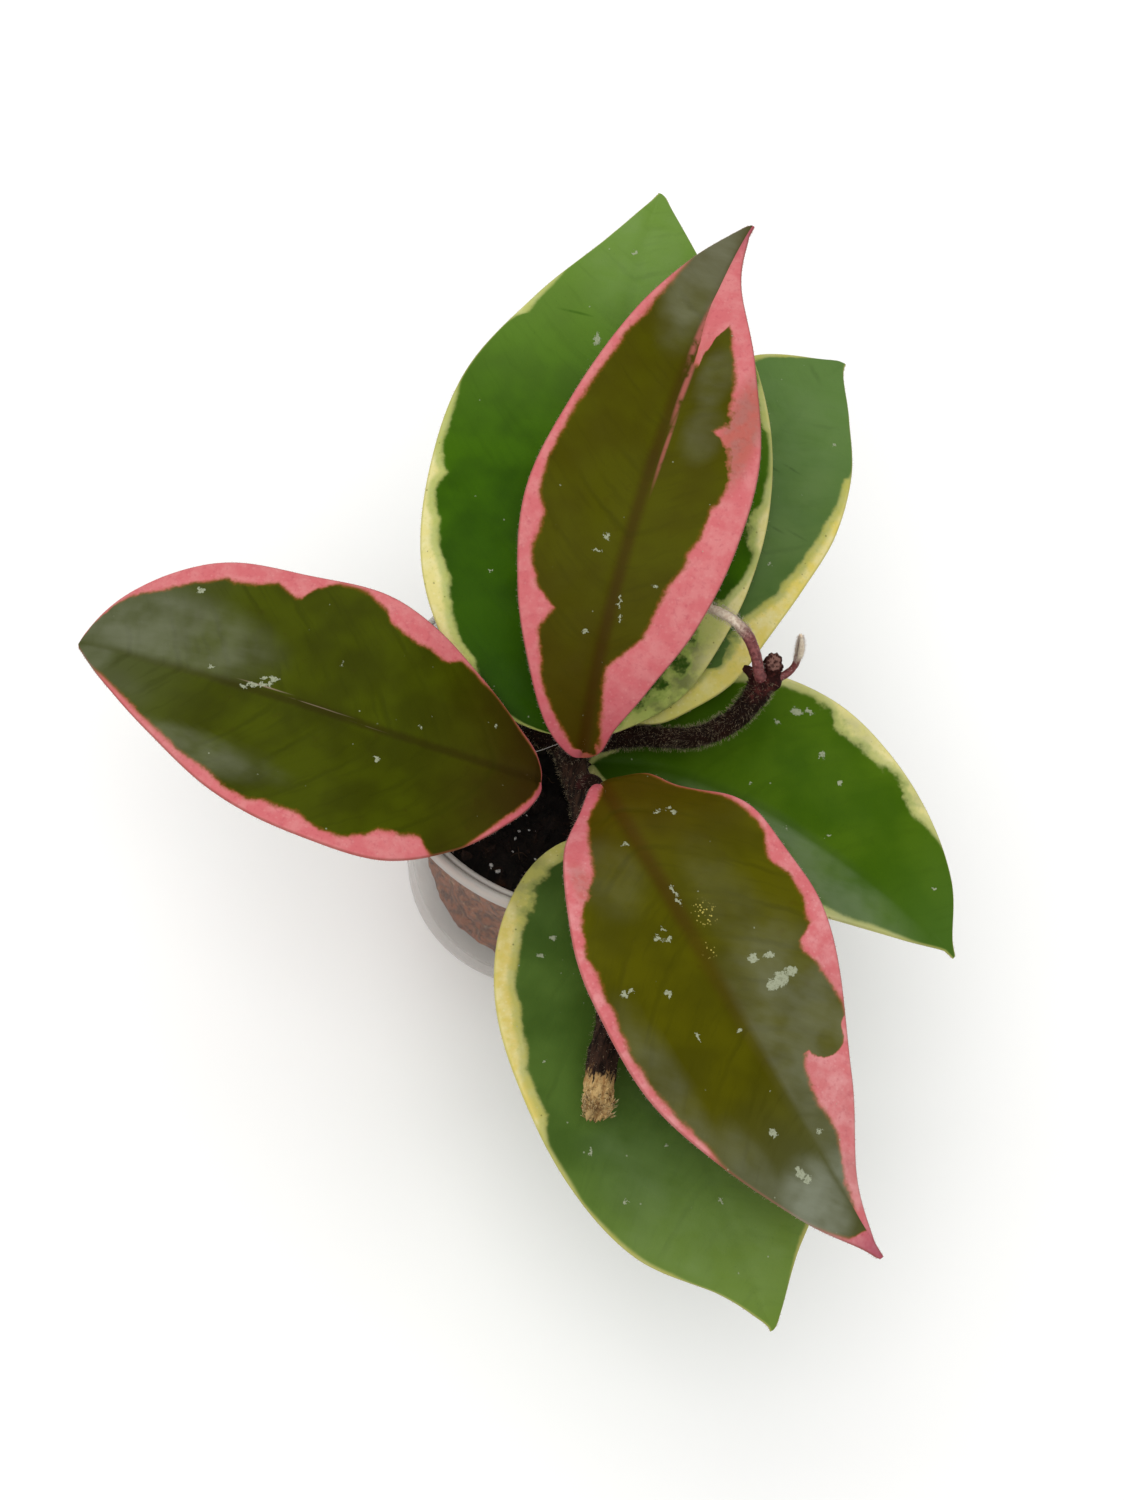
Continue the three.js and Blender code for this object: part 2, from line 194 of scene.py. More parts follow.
class Finish:
    """A material and the nodes that it is made of."""

    def __init__(self, name):
        self.material = bpy.data.materials.new(name)
        self.material.use_nodes = True
        self.tree = self.material.node_tree
        self.tree.nodes.clear()

    def node(self, kind, settings=None, inputs=None, output=0):
        made = self.tree.nodes.new(kind)
        for key, value in (settings or {}).items():
            setattr(made, key, value)
        for key, value in (inputs or {}).items():
            self.feed(self.socket_of(made.inputs, key), value)
        return Reading(self, self.socket_of(made.outputs, output)) if made.outputs else None

    @staticmethod
    def socket_of(sockets, key):
        shown = [s for s in sockets if s.enabled]
        return shown[key] if isinstance(key, int) else next(s for s in shown if s.name == key)

    def feed(self, socket, value):
        if isinstance(value, Reading):
            self.tree.links.new(value.socket, socket)
        elif isinstance(value, tuple) and len(value) == 3 and socket.type == "RGBA":
            socket.default_value = (*value, 1)
        else:
            socket.default_value = value

    def mix(self, factor, a, b):
        return self.node(
            "ShaderNodeMix", {"data_type": "RGBA", "clamp_factor": True},
            {"Factor": factor, "A": a, "B": b})

    def layered(self, colour, *layers):
        """A colour under (share, colour) layers, of which the last lies on top."""
        for share, layer in layers:
            colour = self.mix(share, colour, layer)
        return colour

    def place(self, across=1.0, along=None, up=None):
        """The place on the piece in units of that many mm."""
        return self.node(
            "ShaderNodeMapping", {"vector_type": "POINT"},
            {"Vector": self.node("ShaderNodeTexCoord", output="Object"),
             "Scale": tuple(1 / (MM * size) for size in (across, along or across, up or across))})

    def height(self, place):
        return self.node("ShaderNodeSeparateXYZ", None, {"Vector": place}, output=2)

    def vector_maths(self, operation, *values):
        return self.node(
            "ShaderNodeVectorMath", {"operation": operation}, dict(enumerate(values)))

    def noise(self, place, detail=2.0, roughness=0.5, scale=1.0):
        return self.node(
            "ShaderNodeTexNoise", None,
            {"Vector": place, "Scale": scale, "Detail": detail, "Roughness": roughness})

    def cells(self, place, scale):
        return self.node(
            "ShaderNodeTexVoronoi", None, {"Vector": place, "Scale": scale}, output="Distance")

    def attribute(self, name):
        return self.node(
            "ShaderNodeAttribute", {"attribute_type": "GEOMETRY", "attribute_name": name},
            output="Fac")

    def bump(self, height, strength):
        """height is in mm."""
        return self.node(
            "ShaderNodeBump", None, {"Height": height, "Strength": strength, "Distance": MM})

    def surface(self, **inputs):
        named = {key.replace("_", " "): value for key, value in inputs.items()}
        shader = self.node("ShaderNodeBsdfPrincipled", None, named)
        self.node("ShaderNodeOutputMaterial", {"target": "ALL"}, {"Surface": shader})
        return self.material


# Sizes and colours that can be changed

POT_HEIGHT = 50
RIM_RADIUS = 30
CREAM = tint(228, 218, 142)


class PotSizes(bpy.types.PropertyGroup):
    height: FloatProperty(
        name="Height", description="Height of the pot", default=POT_HEIGHT * MM, unit="LENGTH")
    rim_radius: FloatProperty(
        name="Rim radius", description="Outside radius of the rim", default=RIM_RADIUS * MM,
        unit="LENGTH")
    base_radius: FloatProperty(
        name="Base radius", description="Outside radius of the base", default=21.7 * MM,
        unit="LENGTH")
    plastic: FloatVectorProperty(
        name="Plastic", description="Colour of the frosted plastic", subtype="COLOR",
        default=tint(222, 216, 209), min=0, max=1)


class SoilSizes(bpy.types.PropertyGroup):
    top: FloatProperty(
        name="Top", description="Height of the potting mix at its edge", default=45.6 * MM,
        unit="LENGTH")
    crumbs: IntProperty(
        name="Crumbs", description="Number of loose crumbs on the surface", default=760, min=0)
    chips: IntProperty(
        name="Bark chips", description="Number of bark chips on the surface", default=46, min=0)
    grains: IntProperty(
        name="Pale grains", description="Number of pale mineral grains", default=26, min=0)
    mix: FloatVectorProperty(
        name="Mix", description="Colour of the damp potting mix", subtype="COLOR",
        default=tint(20, 15, 12), min=0, max=1)


class StemSizes(bpy.types.PropertyGroup):
    hair_length: FloatProperty(
        name="Hair length", description="Length of the hairs on the stems", default=0.82 * MM,
        unit="LENGTH")
    hair_thickness: FloatProperty(
        name="Hair thickness", description="Thickness of one hair at its root",
        default=0.06 * MM, unit="LENGTH")
    bark: FloatVectorProperty(
        name="Stem", description="Colour of the young stem", subtype="COLOR",
        default=tint(32, 16, 8), min=0, max=1)
    cut_end: FloatVectorProperty(
        name="Cut end", description="Colour of the dry cut end", subtype="COLOR",
        default=tint(206, 174, 118), min=0, max=1)


class LeafSizes(bpy.types.PropertyGroup):
    edge_thickness: FloatProperty(
        name="Edge thickness", description="Thickness of a leaf near its edge",
        default=0.8 * MM, unit="LENGTH")
    swell: FloatProperty(
        name="Swell", description="How much thicker a leaf is at its middle", default=0.6 * MM,
        unit="LENGTH")
    pink: FloatVectorProperty(
        name="Pink", description="Colour of the young leaves' margins", subtype="COLOR",
        default=tint(209, 110, 114), min=0, max=1)
    cream: FloatVectorProperty(
        name="Cream", description="Colour of the older leaves' margins", subtype="COLOR",
        default=CREAM, min=0, max=1)


class StageSizes(bpy.types.PropertyGroup):
    floor_radius: FloatProperty(
        name="Floor radius", description="Radius of the floor", default=3.0, unit="LENGTH")
    floor_colour: FloatVectorProperty(
        name="Floor", description="Colour of the floor", subtype="COLOR",
        default=(0.97, 0.97, 0.965), min=0, max=1)


# Making pieces

def finished_piece(mesh_data, name, finish, stands_for=(), smooth=True):
    """Turns a bmesh in mm into a named piece in metres that rides with the plant."""
    bmesh.ops.scale(mesh_data, vec=(MM, MM, MM), verts=mesh_data.verts)
    for face in mesh_data.faces:
        face.smooth = smooth
    mesh = bpy.data.meshes.new(name)
    mesh_data.to_mesh(mesh)
    mesh_data.free()
    mesh.materials.append(finish)
    piece = bpy.data.objects.new(name, mesh)
    bpy.context.scene.collection.objects.link(piece)
    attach(piece, "root")
    if stands_for:
        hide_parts(*stands_for)


CURVE_SAMPLES = 240


def curve_through(points):
    """Closely spaced points on a smooth curve through a few points."""
    points = [Vector(p) for p in points]
    whole = [2 * points[0] - points[1], *points, 2 * points[-1] - points[-2]]
    dense = []
    for i in range(len(points) - 1):
        p0, p1, p2, p3 = whole[i:i + 4]
        d0, d1, d2 = [(b - a).length ** 0.5 for a, b in ((p0, p1), (p1, p2), (p2, p3))]
        t1 = ((p1 - p0) / d0 - (p2 - p0) / (d0 + d1) + (p2 - p1) / d1) * d1
        t2 = ((p2 - p1) / d1 - (p3 - p1) / (d1 + d2) + (p3 - p2) / d2) * d1
        steps = CURVE_SAMPLES // (len(points) - 1)
        for k in range(steps):
            f = k / steps
            dense.append(p1 * (2 * f ** 3 - 3 * f ** 2 + 1) + t1 * (f ** 3 - 2 * f ** 2 + f)
                         + p2 * (3 * f ** 2 - 2 * f ** 3) + t2 * (f ** 3 - f ** 2))
    dense.append(points[-1])
    return dense


class Path:
    """A smooth line with a sideways direction carried along it."""

    def __init__(self, points):
        self.points = curve_through(points)
        self.places = [0.0]
        for a, b in zip(self.points, self.points[1:]):
            self.places.append(self.places[-1] + (b - a).length)
        self.length = self.places[-1]
        self.forwards = []
        for i in range(len(self.points)):
            a = self.points[max(i - 1, 0)]
            b = self.points[min(i + 1, len(self.points) - 1)]
            self.forwards.append((b - a).normalized())
        side = self.forwards[0].cross(UP)
        if side.length < 0.2:
            side = self.forwards[0].cross(Vector((0, 1, 0)))
        self.sides = [side.normalized()]
        for forward in self.forwards[1:]:
            side = self.sides[-1] - forward * self.sides[-1].dot(forward)
            self.sides.append(side.normalized())

    def at(self, share):
        """(point, forward, side, over) at a 0 to 1 share of the length."""
        place = min(max(share, 0.0), 1.0) * self.length
        low, high = 0, len(self.places) - 1
        while high - low > 1:
            middle = (low + high) // 2
            if self.places[middle] <= place:
                low = middle
            else:
                high = middle
        f = (place - self.places[low]) / max(self.places[high] - self.places[low], 1e-9)
        point = self.points[low].lerp(self.points[high], f)
        forward = self.forwards[low].lerp(self.forwards[high], f).normalized()
        side = self.sides[low].lerp(self.sides[high], f)
        side = (side - forward * side.dot(forward)).normalized()
        return point, forward, side, side.cross(forward)


# Rings nearer to a rod's end than this share of its length lie on the end, and the rings'
# spacing is even in this part and closer near the ends in the rest.
POLE_REACH = 1e-5
EVEN_PART = 0.65


def rod(sizes, sides, pitch, shape=None, rounding=1.0):
    """A closed round stem. shape turns (share, angle, radius) into a width and a height."""
    path = Path(sizes["line"])
    made = bmesh.new()
    steps = max(int(path.length / pitch), 8)
    bmesh.ops.create_grid(made, x_segments=sides, y_segments=steps, size=1)
    share_layer = made.verts.layers.float.new("share")
    for vert in made.verts:
        even = (vert.co.y + 1) / 2
        share = EVEN_PART * even + (1 - EVEN_PART) * (1 - math.cos(math.pi * even)) / 2
        if share > 1 - POLE_REACH or share < POLE_REACH:
            share = round(share)
        angle = math.pi * (vert.co.x + 1)
        radius = between(sizes["radii"], share)
        reach = radius * rounding
        for to_end in (share * path.length, (1 - share) * path.length):
            radius *= math.sqrt(1 - (1 - min(to_end / reach, 1.0)) ** 2)
        wide = tall = radius
        if shape:
            wide, tall = shape(share, angle, radius)
        point, _, side, over = path.at(share)
        vert.co = point + side * (wide * math.cos(angle)) + over * (tall * math.sin(angle))
        vert[share_layer] = share
    bmesh.ops.remove_doubles(made, verts=made.verts, dist=MERGE_DISTANCE)
    bmesh.ops.dissolve_degenerate(made, dist=1e-5, edges=made.edges)
    bmesh.ops.recalc_face_normals(made, faces=made.faces)
    return made


def join_into(made, other):
    """Adds one bmesh's shape to another's."""
    mesh = bpy.data.meshes.new("joined")
    other.to_mesh(mesh)
    other.free()
    made.from_mesh(mesh)
    bpy.data.meshes.remove(mesh)


def roughened(made, height, size, seed, where=None):
    """Moves points along their normals by noise of that height and size in mm.

    where gives the share of the height at a vertex.
    """
    made.normal_update()
    shifts = []
    for vert in made.verts:
        share = where(vert) if where else 1.0
        value = noise.noise(vert.co / size + Vector((seed, 2 * seed, 3 * seed)))
        shifts.append((vert, vert.normal * (value * height * share)))
    for vert, shift in shifts:
        vert.co += shift


HAIR_LENGTHS = (0.55, 1.25)
HAIR_POINT = 0.12
HAIR_SINK = 0.05
HAIR_SEAT = 0.97


def hairs(spots, draw, length, thickness, droop=0.25, lean=0.35):
    """A bmesh of fine three-sided hairs at (point, outward) spots, with a share along each."""
    made = bmesh.new()
    share_layer = made.verts.layers.float.new("share")
    for point, outward in spots:
        size = length * draw.uniform(*HAIR_LENGTHS)
        stray = Vector((draw.gauss(0, lean), draw.gauss(0, lean), draw.gauss(0, lean) - droop))
        direction = (outward + stray).normalized()
        turn = UP.rotation_difference(direction).to_matrix().to_4x4()
        spin = Matrix.Rotation(draw.uniform(0, math.tau), 4, "Z")
        middle = Matrix.Translation(point + direction * (size / 2 - HAIR_SINK))
        cone = bmesh.ops.create_cone(
            made, cap_ends=True, segments=3, radius1=thickness, radius2=thickness * HAIR_POINT,
            depth=size, matrix=middle @ turn @ spin)
        for vert in cone["verts"]:
            vert[share_layer] = min(max((vert.co - point).dot(direction) / size, 0.0), 1.0)
    return made


def spots_on_rod(sizes, count, draw, start=0.0, end=1.0):
    """(point, outward) spots on a stem, strewn between two shares of its length."""
    path = Path(sizes["line"])
    spots = []
    for _ in range(count):
        share = draw.uniform(start, end)
        angle = draw.uniform(0, math.tau)
        point, _, side, over = path.at(share)
        outward = side * math.cos(angle) + over * math.sin(angle)
        spots.append((point + outward * between(sizes["radii"], share) * HAIR_SEAT, outward))
    return spots


def turned(profile, steps):
    """A bmesh of a profile of (radius, height) points turned round the upright axis."""
    made = bmesh.new()
    verts = [made.verts.new((r, 0, z)) for r, z in profile]
    edges = [made.edges.new(pair) for pair in zip(verts, verts[1:])]
    bmesh.ops.spin(
        made, geom=verts + edges, cent=(0, 0, 0), axis=(0, 0, 1), angle=math.tau,
        steps=steps, use_merge=True, use_duplicate=False)
    bmesh.ops.remove_doubles(made, verts=made.verts, dist=MERGE_DISTANCE)
    return made


# Pot

RIM_PROFILE = [
    (29.25, 46.6), (29.3, 47.1), (29.75, 47.35), (30, 47.75), (30, 49.3), (29.86, 49.72),
    (29.55, 49.93), (29.25, 49.95), (29.02, 49.8), (28.93, 49.58), (28.84, 49.5), (28.75, 49.6),
    (28.66, 49.88), (28.48, 50), (28.2, 49.98), (28, 49.8), (27.85, 49.45), (27.8, 49),
    (27.8, 48), (28.05, 47.6), (28.35, 47.2),
]
WALL = 0.9
WALL_RINGS = 14
FLOOR_THICKNESS = 1.4
FOOT_RADIUS = 19.2
DRAIN_HOLES = 5
DRAIN_SIDES = 32
DRAIN_RADIUS = 2.2
DRAIN_CIRCLE = 13.5
POT_STEPS = 144


def wall_points(low, high):
    """The points between two ends of the wall, from low to high."""
    shares = [k / WALL_RINGS for k in range(1, WALL_RINGS)]
    return [tuple(a + (b - a) * f for a, b in zip(low, high)) for f in shares]


def pot_profile(sizes):
    """The pot's section, from its foot up the outside, over the rim and down to the floor."""
    base = sizes.base_radius / MM
    out = sizes.rim_radius / MM - RIM_RADIUS
    up = sizes.height / MM - POT_HEIGHT
    rim = [(r + out, z + up) for r, z in RIM_PROFILE]
    inside = base - WALL
    return [
        (FOOT_RADIUS, 0.0), (base - 0.8, 0.0), (base - 0.3, 0.12), (base - 0.05, 0.45),
        (base, 0.9), (base + 0.12, 2.2), (base + 0.05, 2.5),
        *wall_points((base, 2.8), rim[0]),
        *rim,
        *reversed(wall_points((inside, FLOOR_THICKNESS + 1.2), rim[-1])),
        (inside - 0.15, FLOOR_THICKNESS + 0.6), (inside - 0.7, FLOOR_THICKNESS + 0.1),
        (FOOT_RADIUS, FLOOR_THICKNESS),
    ]


def edges_at(verts):
    """The edges that meet some vertices, in an order that is the same in each run."""
    edges = []
    for vert in verts:
        edges += [edge for edge in vert.link_edges if edge not in edges]
    return edges


def drain_ring(made, angle, height):
    """The edges of a drain hole's rim, at an angle round the floor."""
    centre = (DRAIN_CIRCLE * math.cos(angle), DRAIN_CIRCLE * math.sin(angle), height)
    ring = bmesh.ops.create_circle(
        made, cap_ends=False, radius=DRAIN_RADIUS, segments=DRAIN_SIDES,
        matrix=Matrix.Translation(centre))
    return edges_at(ring["verts"])


def pot_body(sizes):
    made = turned(pot_profile(sizes), POT_STEPS)
    open_edges = [e for e in made.edges if e.is_boundary]
    middle = FLOOR_THICKNESS / 2
    loops = {
        0.0: [e for e in open_edges if e.verts[0].co.z < middle],
        FLOOR_THICKNESS: [e for e in open_edges if e.verts[0].co.z > middle],
    }
    angles = [math.tau * k / DRAIN_HOLES for k in range(DRAIN_HOLES)]
    drains = []
    for height, loop in loops.items():
        rings = [drain_ring(made, angle, height) for angle in angles]
        bmesh.ops.triangle_fill(
            made, use_beauty=True, use_dissolve=False,
            edges=loop + [edge for ring in rings for edge in ring])
        drains.append(rings)
    for low, high in zip(*drains):
        bmesh.ops.bridge_loops(made, edges=low + high)
    bmesh.ops.recalc_face_normals(made, faces=made.faces)
    return made


def frosted_plastic(sizes):
    """Hazy plastic that hides more at the rim, at the foot and at the pot's outline."""
    finish = Finish("frosted_plastic")
    place = finish.place()
    height = finish.height(place)
    top = sizes.height / MM
    rim_radius = sizes.rim_radius / MM
    haze = finish.noise(place, detail=3, scale=0.09)
    scuffs = finish.noise(finish.place(1.2, 1.2, 14.0), detail=4, roughness=0.6)
    dust = finish.noise(place, detail=4, roughness=0.7, scale=1.6).rise(0.62, 0.74)
    plastic = tuple(sizes.plastic)
    rim = (height + (haze - 0.5) * 0.6).rise(top - 3.6, top - 2.6)
    foot = height.fall(0.8, 2.4)
    flat = finish.vector_maths("MULTIPLY", place, (1, 1, 0))
    radius = finish.vector_maths("LENGTH", flat)
    # The rim's two grooves and the line under its outer lip are painted darker: painted shade.
    outer_groove_shade = abs(radius - (rim_radius - 1.16)).fall(0.06, 0.2)
    inner_groove_shade = abs(radius - (rim_radius - 2.15)).fall(0.05, 0.2)
    painted_groove_shade = outer_groove_shade * height.rise(top - 0.9, top - 0.7)
    painted_groove_shade = painted_groove_shade.most(inner_groove_shade * height.rise(top - 3, top - 2.4))
    painted_groove_shade = painted_groove_shade.most(abs(height - (top - 2.7)).fall(0.15, 0.4))
    colour = finish.layered(
        dimmed(plastic, 0.95),
        (rim.most(foot * 0.5), plastic),
        (haze.rise(0.35, 0.7) * 0.3, dimmed(plastic, 0.8)),
        (dust * 0.3 * height.fall(top - 20, top - 2), tint(120, 96, 78)),
        # Painted shade in the rim's grooves and under its lip
        (painted_groove_shade * 0.75, tint(98, 84, 78)))
    grain = finish.noise(place, detail=2, scale=2.4) * 0.02 + scuffs * 0.015
    edge_on = finish.node("ShaderNodeLayerWeight", None, {"Blend": 0.5}, output="Facing")
    see = 0.07 + haze.rise(0.3, 0.75) * 0.025 + scuffs.rise(0.55, 0.75) * 0.02
    see = see + edge_on.rise(0.82, 1.0) * 0.25
    return finish.surface(
        Base_Color=colour,
        Roughness=0.42 + haze * 0.12 + scuffs.rise(0.5, 0.75) * 0.12,
        Alpha=see.most(rim * 0.62).most(foot * 0.25),
        IOR=1.4,
        Specular_IOR_Level=0.35,
        Normal=finish.bump(grain, 0.6))


# Potting mix

SOIL_CROWN = 0.8
SOIL_EDGE = 27.5
SOIL_RINGS = 56
SOIL_STEPS = 168
SOIL_SIDE_STEP = 1.1
SOIL_FOOT = 1.9
# Lumps on the soil's side: height, size, seed, the heights where they fade at the top, and the
# height where they are whole above the foot.
SOIL_LUMPS = [
    (1.7, 7.5, 9.4, (43.5, 36), 6), (1.1, 2.6, 3.1, (44, 40), 5), (0.35, 0.9, 5.7, (44, 40), 5),
]
ROOT_BALL = [
    (0, 1.7), (16.4, 1.7), (17.7, 2.2), (18.3, 3.6), (19, 12), (19.6, 22), (20.3, 34),
    (21.4, 38.5), (23.3, 41.6), (26.6, 43.5), (27.5, 44.4),
]
SEEDS = {"crumbs": 11, "chips": 5, "fibres": 8, "grains": 23, "frayed": 46}
STEM_PLACE = (1.5, -4.6)
STEM_CLEARANCE = 2.2
LUMP_SIZES = [(1.0, 1.0), (0.7, 1.1), (0.55, 0.95)]
FIBRES = 60
FIBRE_RADII = [0.05, 0.09, 0.08, 0.04]
GRAIN_RISE = 0.6
PLACED_GRAINS = [
    ((-6.5, -23.0), 0.42), ((-5.3, -23.4), 0.5), ((-4.3, -17.9), 0.3), ((-4.1, -16.5), 0.28),
    ((-2.7, -15.9), 0.22), ((-1.6, -15.7), 0.26), ((-0.5, -20.0), 0.22), ((-3.7, -13.4), 0.26),
]


def soil_height(x, y, top):
    share = math.hypot(x, y) / SOIL_EDGE
    broad = 0.45 * math.sin(0.55 * x + 1) * math.cos(0.45 * y + 0.2 * x)
    rough = 0.7 * noise.noise(Vector((x / 2.1, y / 2.1, 0.3)))
    crumb = 0.42 * noise.noise(Vector((x / 0.8, y / 0.8, 4.3)))
    lumps = (broad + rough + crumb) * smooth_step(1.0, 0.93, share)
    return top + SOIL_CROWN * (1 - share ** 2) + lumps


def soil_body(top):
    profile = []
    for (r0, z0), (r1, z1) in zip(ROOT_BALL, ROOT_BALL[1:]):
        steps = max(int(math.hypot(r1 - r0, z1 - z0) / SOIL_SIDE_STEP), 1)
        profile += [(r0 + (r1 - r0) * k / steps, z0 + (z1 - z0) * k / steps) for k in range(steps)]
    profile.append(ROOT_BALL[-1])
    profile += [(SOIL_EDGE * (1 - k / SOIL_RINGS), top) for k in range(SOIL_RINGS)]
    profile.append((0, top))
    made = turned(profile, SOIL_STEPS)
    bmesh.ops.recalc_face_normals(made, faces=made.faces)
    for height, size, seed, fade, whole in SOIL_LUMPS:
        roughened(
            made, height, size, seed,
            lambda v: smooth_step(*fade, v.co.z) * smooth_step(SOIL_FOOT, whole, v.co.z))
    for vert in made.verts:
        if vert.co.z > top - 0.05:
            vert.co.z = soil_height(vert.co.x, vert.co.y, top)
    return made


def damp_mix(name, colour, paler, size=1.0, side=None):
    """Damp crumbly soil or bark. side is the colour of a root ball's side below the surface."""
    finish = Finish(name)
    place = finish.place(size)
    broad = finish.noise(place, detail=4, roughness=0.6, scale=0.25)
    fine = finish.noise(place, detail=5, roughness=0.7, scale=1.6)
    fibres = finish.noise(finish.place(0.5, 4.0, 1.2), detail=3, scale=0.8).rise(0.6, 0.72)
    shade = finish.layered(
        dimmed(colour, 0.35),
        (fine.rise(0.35, 0.65), colour),
        (broad.rise(0.5, 0.75) * 0.5, paler),
        (fibres * 0.45, paler))
    if side:
        lumps = finish.noise(place, detail=3, roughness=0.6, scale=0.55)
        bits = finish.cells(place, 0.5)
        wander = finish.noise(finish.place(1.0, 1.0, 0.6), detail=1, scale=0.16)
        roots = abs(wander - 0.5).fall(0.003, 0.01) * broad.rise(0.42, 0.5)
        wet = finish.layered(
            dimmed(side, 0.6),
            (fine.rise(0.35, 0.65), side),
            (lumps.rise(0.46, 0.6) * 0.75, dimmed(side, 0.2)),
            (bits.fall(0.14, 0.26) * 0.7, dimmed(side, 0.12)),
            (fibres * 0.3, tint(176, 140, 104)),
            (roots * 0.45, tint(190, 156, 118)))
        shade = finish.mix(finish.height(place).fall(42.6, 45.6), shade, wet)
    return finish.surface(
        Base_Color=shade,
        Roughness=0.8 + fine * 0.15,
        Specular_IOR_Level=0.15,
        Normal=finish.bump(fine * 0.3 + broad * 0.3, 0.8))


def random_turn(draw, lean):
    """A turn round the upright axis, after a lean of up to that many radians."""
    return Matrix.Rotation(draw.uniform(0, math.tau), 4, "Z") @ Matrix.Rotation(
        draw.uniform(-lean, lean), 4, "X")


def jitter(verts, draw, radius, reach):
    for vert in verts:
        vert.co += Vector([draw.uniform(-reach, reach) * radius for _ in range(3)])


def scattered_lumps(places, draw, rough=0.3):
    """Small irregular lumps at (x, y, z, radius) places."""
    made = bmesh.new()
    for x, y, z, radius in places:
        sizes = [draw.uniform(*limits) * radius for limits in LUMP_SIZES]
        turn = random_turn(draw, lean=0.8)
        lump = bmesh.ops.create_icosphere(
            made, subdivisions=1, radius=1,
            matrix=Matrix.Translation((x, y, z)) @ turn @ Matrix.Diagonal((*sizes, 1)))
        jitter(lump["verts"], draw, radius, reach=rough)
    return made


def free_places(count, draw, top, low, high, sink, most=26.6):
    """(x, y, z, radius) places spread over the soil, clear of the stem."""
    places = []
    while len(places) < count:
        angle = draw.uniform(0, math.tau)
        distance = most * math.sqrt(draw.random())
        x, y = distance * math.cos(angle), distance * math.sin(angle)
        if math.dist((x, y), STEM_PLACE) < STEM_CLEARANCE:
            continue
        radius = low + (high - low) * draw.random() ** 2.2
        places.append((x, y, soil_height(x, y, top) + radius * sink, radius))
    return places


def bark_chips(count, draw, top):
    made = bmesh.new()
    places = free_places(count, draw, top, low=1.1, high=2.7, sink=0.12, most=24.6)
    for x, y, z, radius in places:
        size = Matrix.Diagonal((radius, radius * draw.uniform(0.4, 0.7), radius * 0.28, 1))
        chip = bmesh.ops.create_cube(
            made, size=1.6,
            matrix=Matrix.Translation((x, y, z)) @ random_turn(draw, lean=0.5) @ size)
        bevelled = bmesh.ops.bevel(
            made, geom=edges_at(chip["verts"]), offset=0.16 * radius, affect="EDGES",
            segments=1, profile=0.5, material=-1, offset_type="OFFSET", clamp_overlap=True)
        corners = {vert for face in bevelled["faces"] for vert in face.verts}
        ordered = sorted(corners, key=lambda corner: tuple(corner.co))
        jitter(ordered, draw, radius, reach=0.13)
    return made


def fibre_bits(count, draw, top):
    made = bmesh.new()
    for x, y, _, radius in free_places(count, draw, top, low=0.8, high=3.0, sink=0.0, most=24):
        heading = draw.uniform(0, math.tau)
        bend = draw.uniform(-1.0, 1.0)
        points = []
        for k in range(4):
            f = k / 3 - 0.5
            a = heading + bend * f
            px, py = x + 2 * radius * f * math.cos(a), y + 2 * radius * f * math.sin(a)
            points.append((px, py, soil_height(px, py, top) + 0.25 + 0.25 * math.sin(3 * k + x)))
        join_into(made, rod({"line": points, "radii": FIBRE_RADII}, sides=5, pitch=0.5))
    return made


# Stems

ROOT_STEM = {
    "line": [(2.2, -4.2, 22), (1.5, -4.5, 45), (0.3, -5, 51), (-0.9, -5.7, 56.3)],
    "radii": [1.5, 1.7, 2, 2.1],
}
TWIG = {
    "line": [(-0.9, -5.7, 55.6), (-3.5, -5.1, 55.9), (-6.5, -4.8, 55.4), (-9.5, -6.5, 53.5)],
    "radii": [1.5, 1.4, 1.3, 1.2],
}
OLD_STEM = {
    "line": [
        (-1.1, -5.8, 56.3), (2.9, -12.7, 57.5), (8.1, -25.1, 59.5), (13, -37.1, 60.8),
        (15.5, -44.4, 61.2), (16.4, -49.6, 61.3), (16.8, -54.8, 61.2), (18.1, -61.5, 61),
    ],
    "radii": [2, 2.1, 2, 1.9, 1.9, 1.8, 1.7, 1.75, 2.05, 2.15, 1.95],
}
SIDE_SHOOT = {
    "line": [
        (-0.9, -5.7, 56), (5, -2, 56.4), (8.9, -0.8, 57.5), (12.5, -0.6, 59), (16, -0.6, 61.4),
        (18.5, 0, 63.6), (20.9, 1.4, 66.4), (22.6, 3.7, 69), (23.6, 7.3, 71.3),
    ],
    "radii": [1.9, 1.7, 1.6, 1.5, 1.5, 1.6, 1.7, 2],
}
SHOOT_NODE = {"centre": (23.6, 7.2, 71.2), "radius": 2.4, "flatness": 0.85}
DRY_BUD = {
    "line": [(23.6, 7.6, 71.5), (23.9, 8.0, 73.2), (24.0, 8.3, 74.7)],
    "radii": [1.6, 1.4, 1.45],
}
STIPULE = {
    "line": [(23, 6.8, 71.6), (21.4, 6.8, 72.3), (19.9, 7, 72.7)],
    "radii": [1.1, 0.85, 0.5],
}
YOUNG_LONG = {
    "line": [
        (23.3, 6.6, 71.6), (22.4, 6.3, 73.4), (21.1, 7.3, 76), (19, 9, 78), (16.7, 10.6, 78.2),
        (14.6, 11.9, 77.2), (12.7, 13, 75.8), (10.9, 14.5, 74),
    ],
    "radii": [1, 0.85, 0.8, 0.85, 1.05, 1.05, 1, 0.85, 0.4],
}
YOUNG_SHORT = {
    "line": [
        (24.4, 7.4, 71.4), (25.6, 7.9, 71.6), (26.5, 8.6, 72.3), (27, 9.2, 73.6),
        (27, 9.5, 75.3), (26.8, 9.5, 77.6), (26.4, 9.4, 80), (26, 9.2, 82.2),
    ],
    "radii": [0.85, 0.6, 0.52, 0.5, 0.6, 0.72, 0.7, 0.55, 0.25],
}
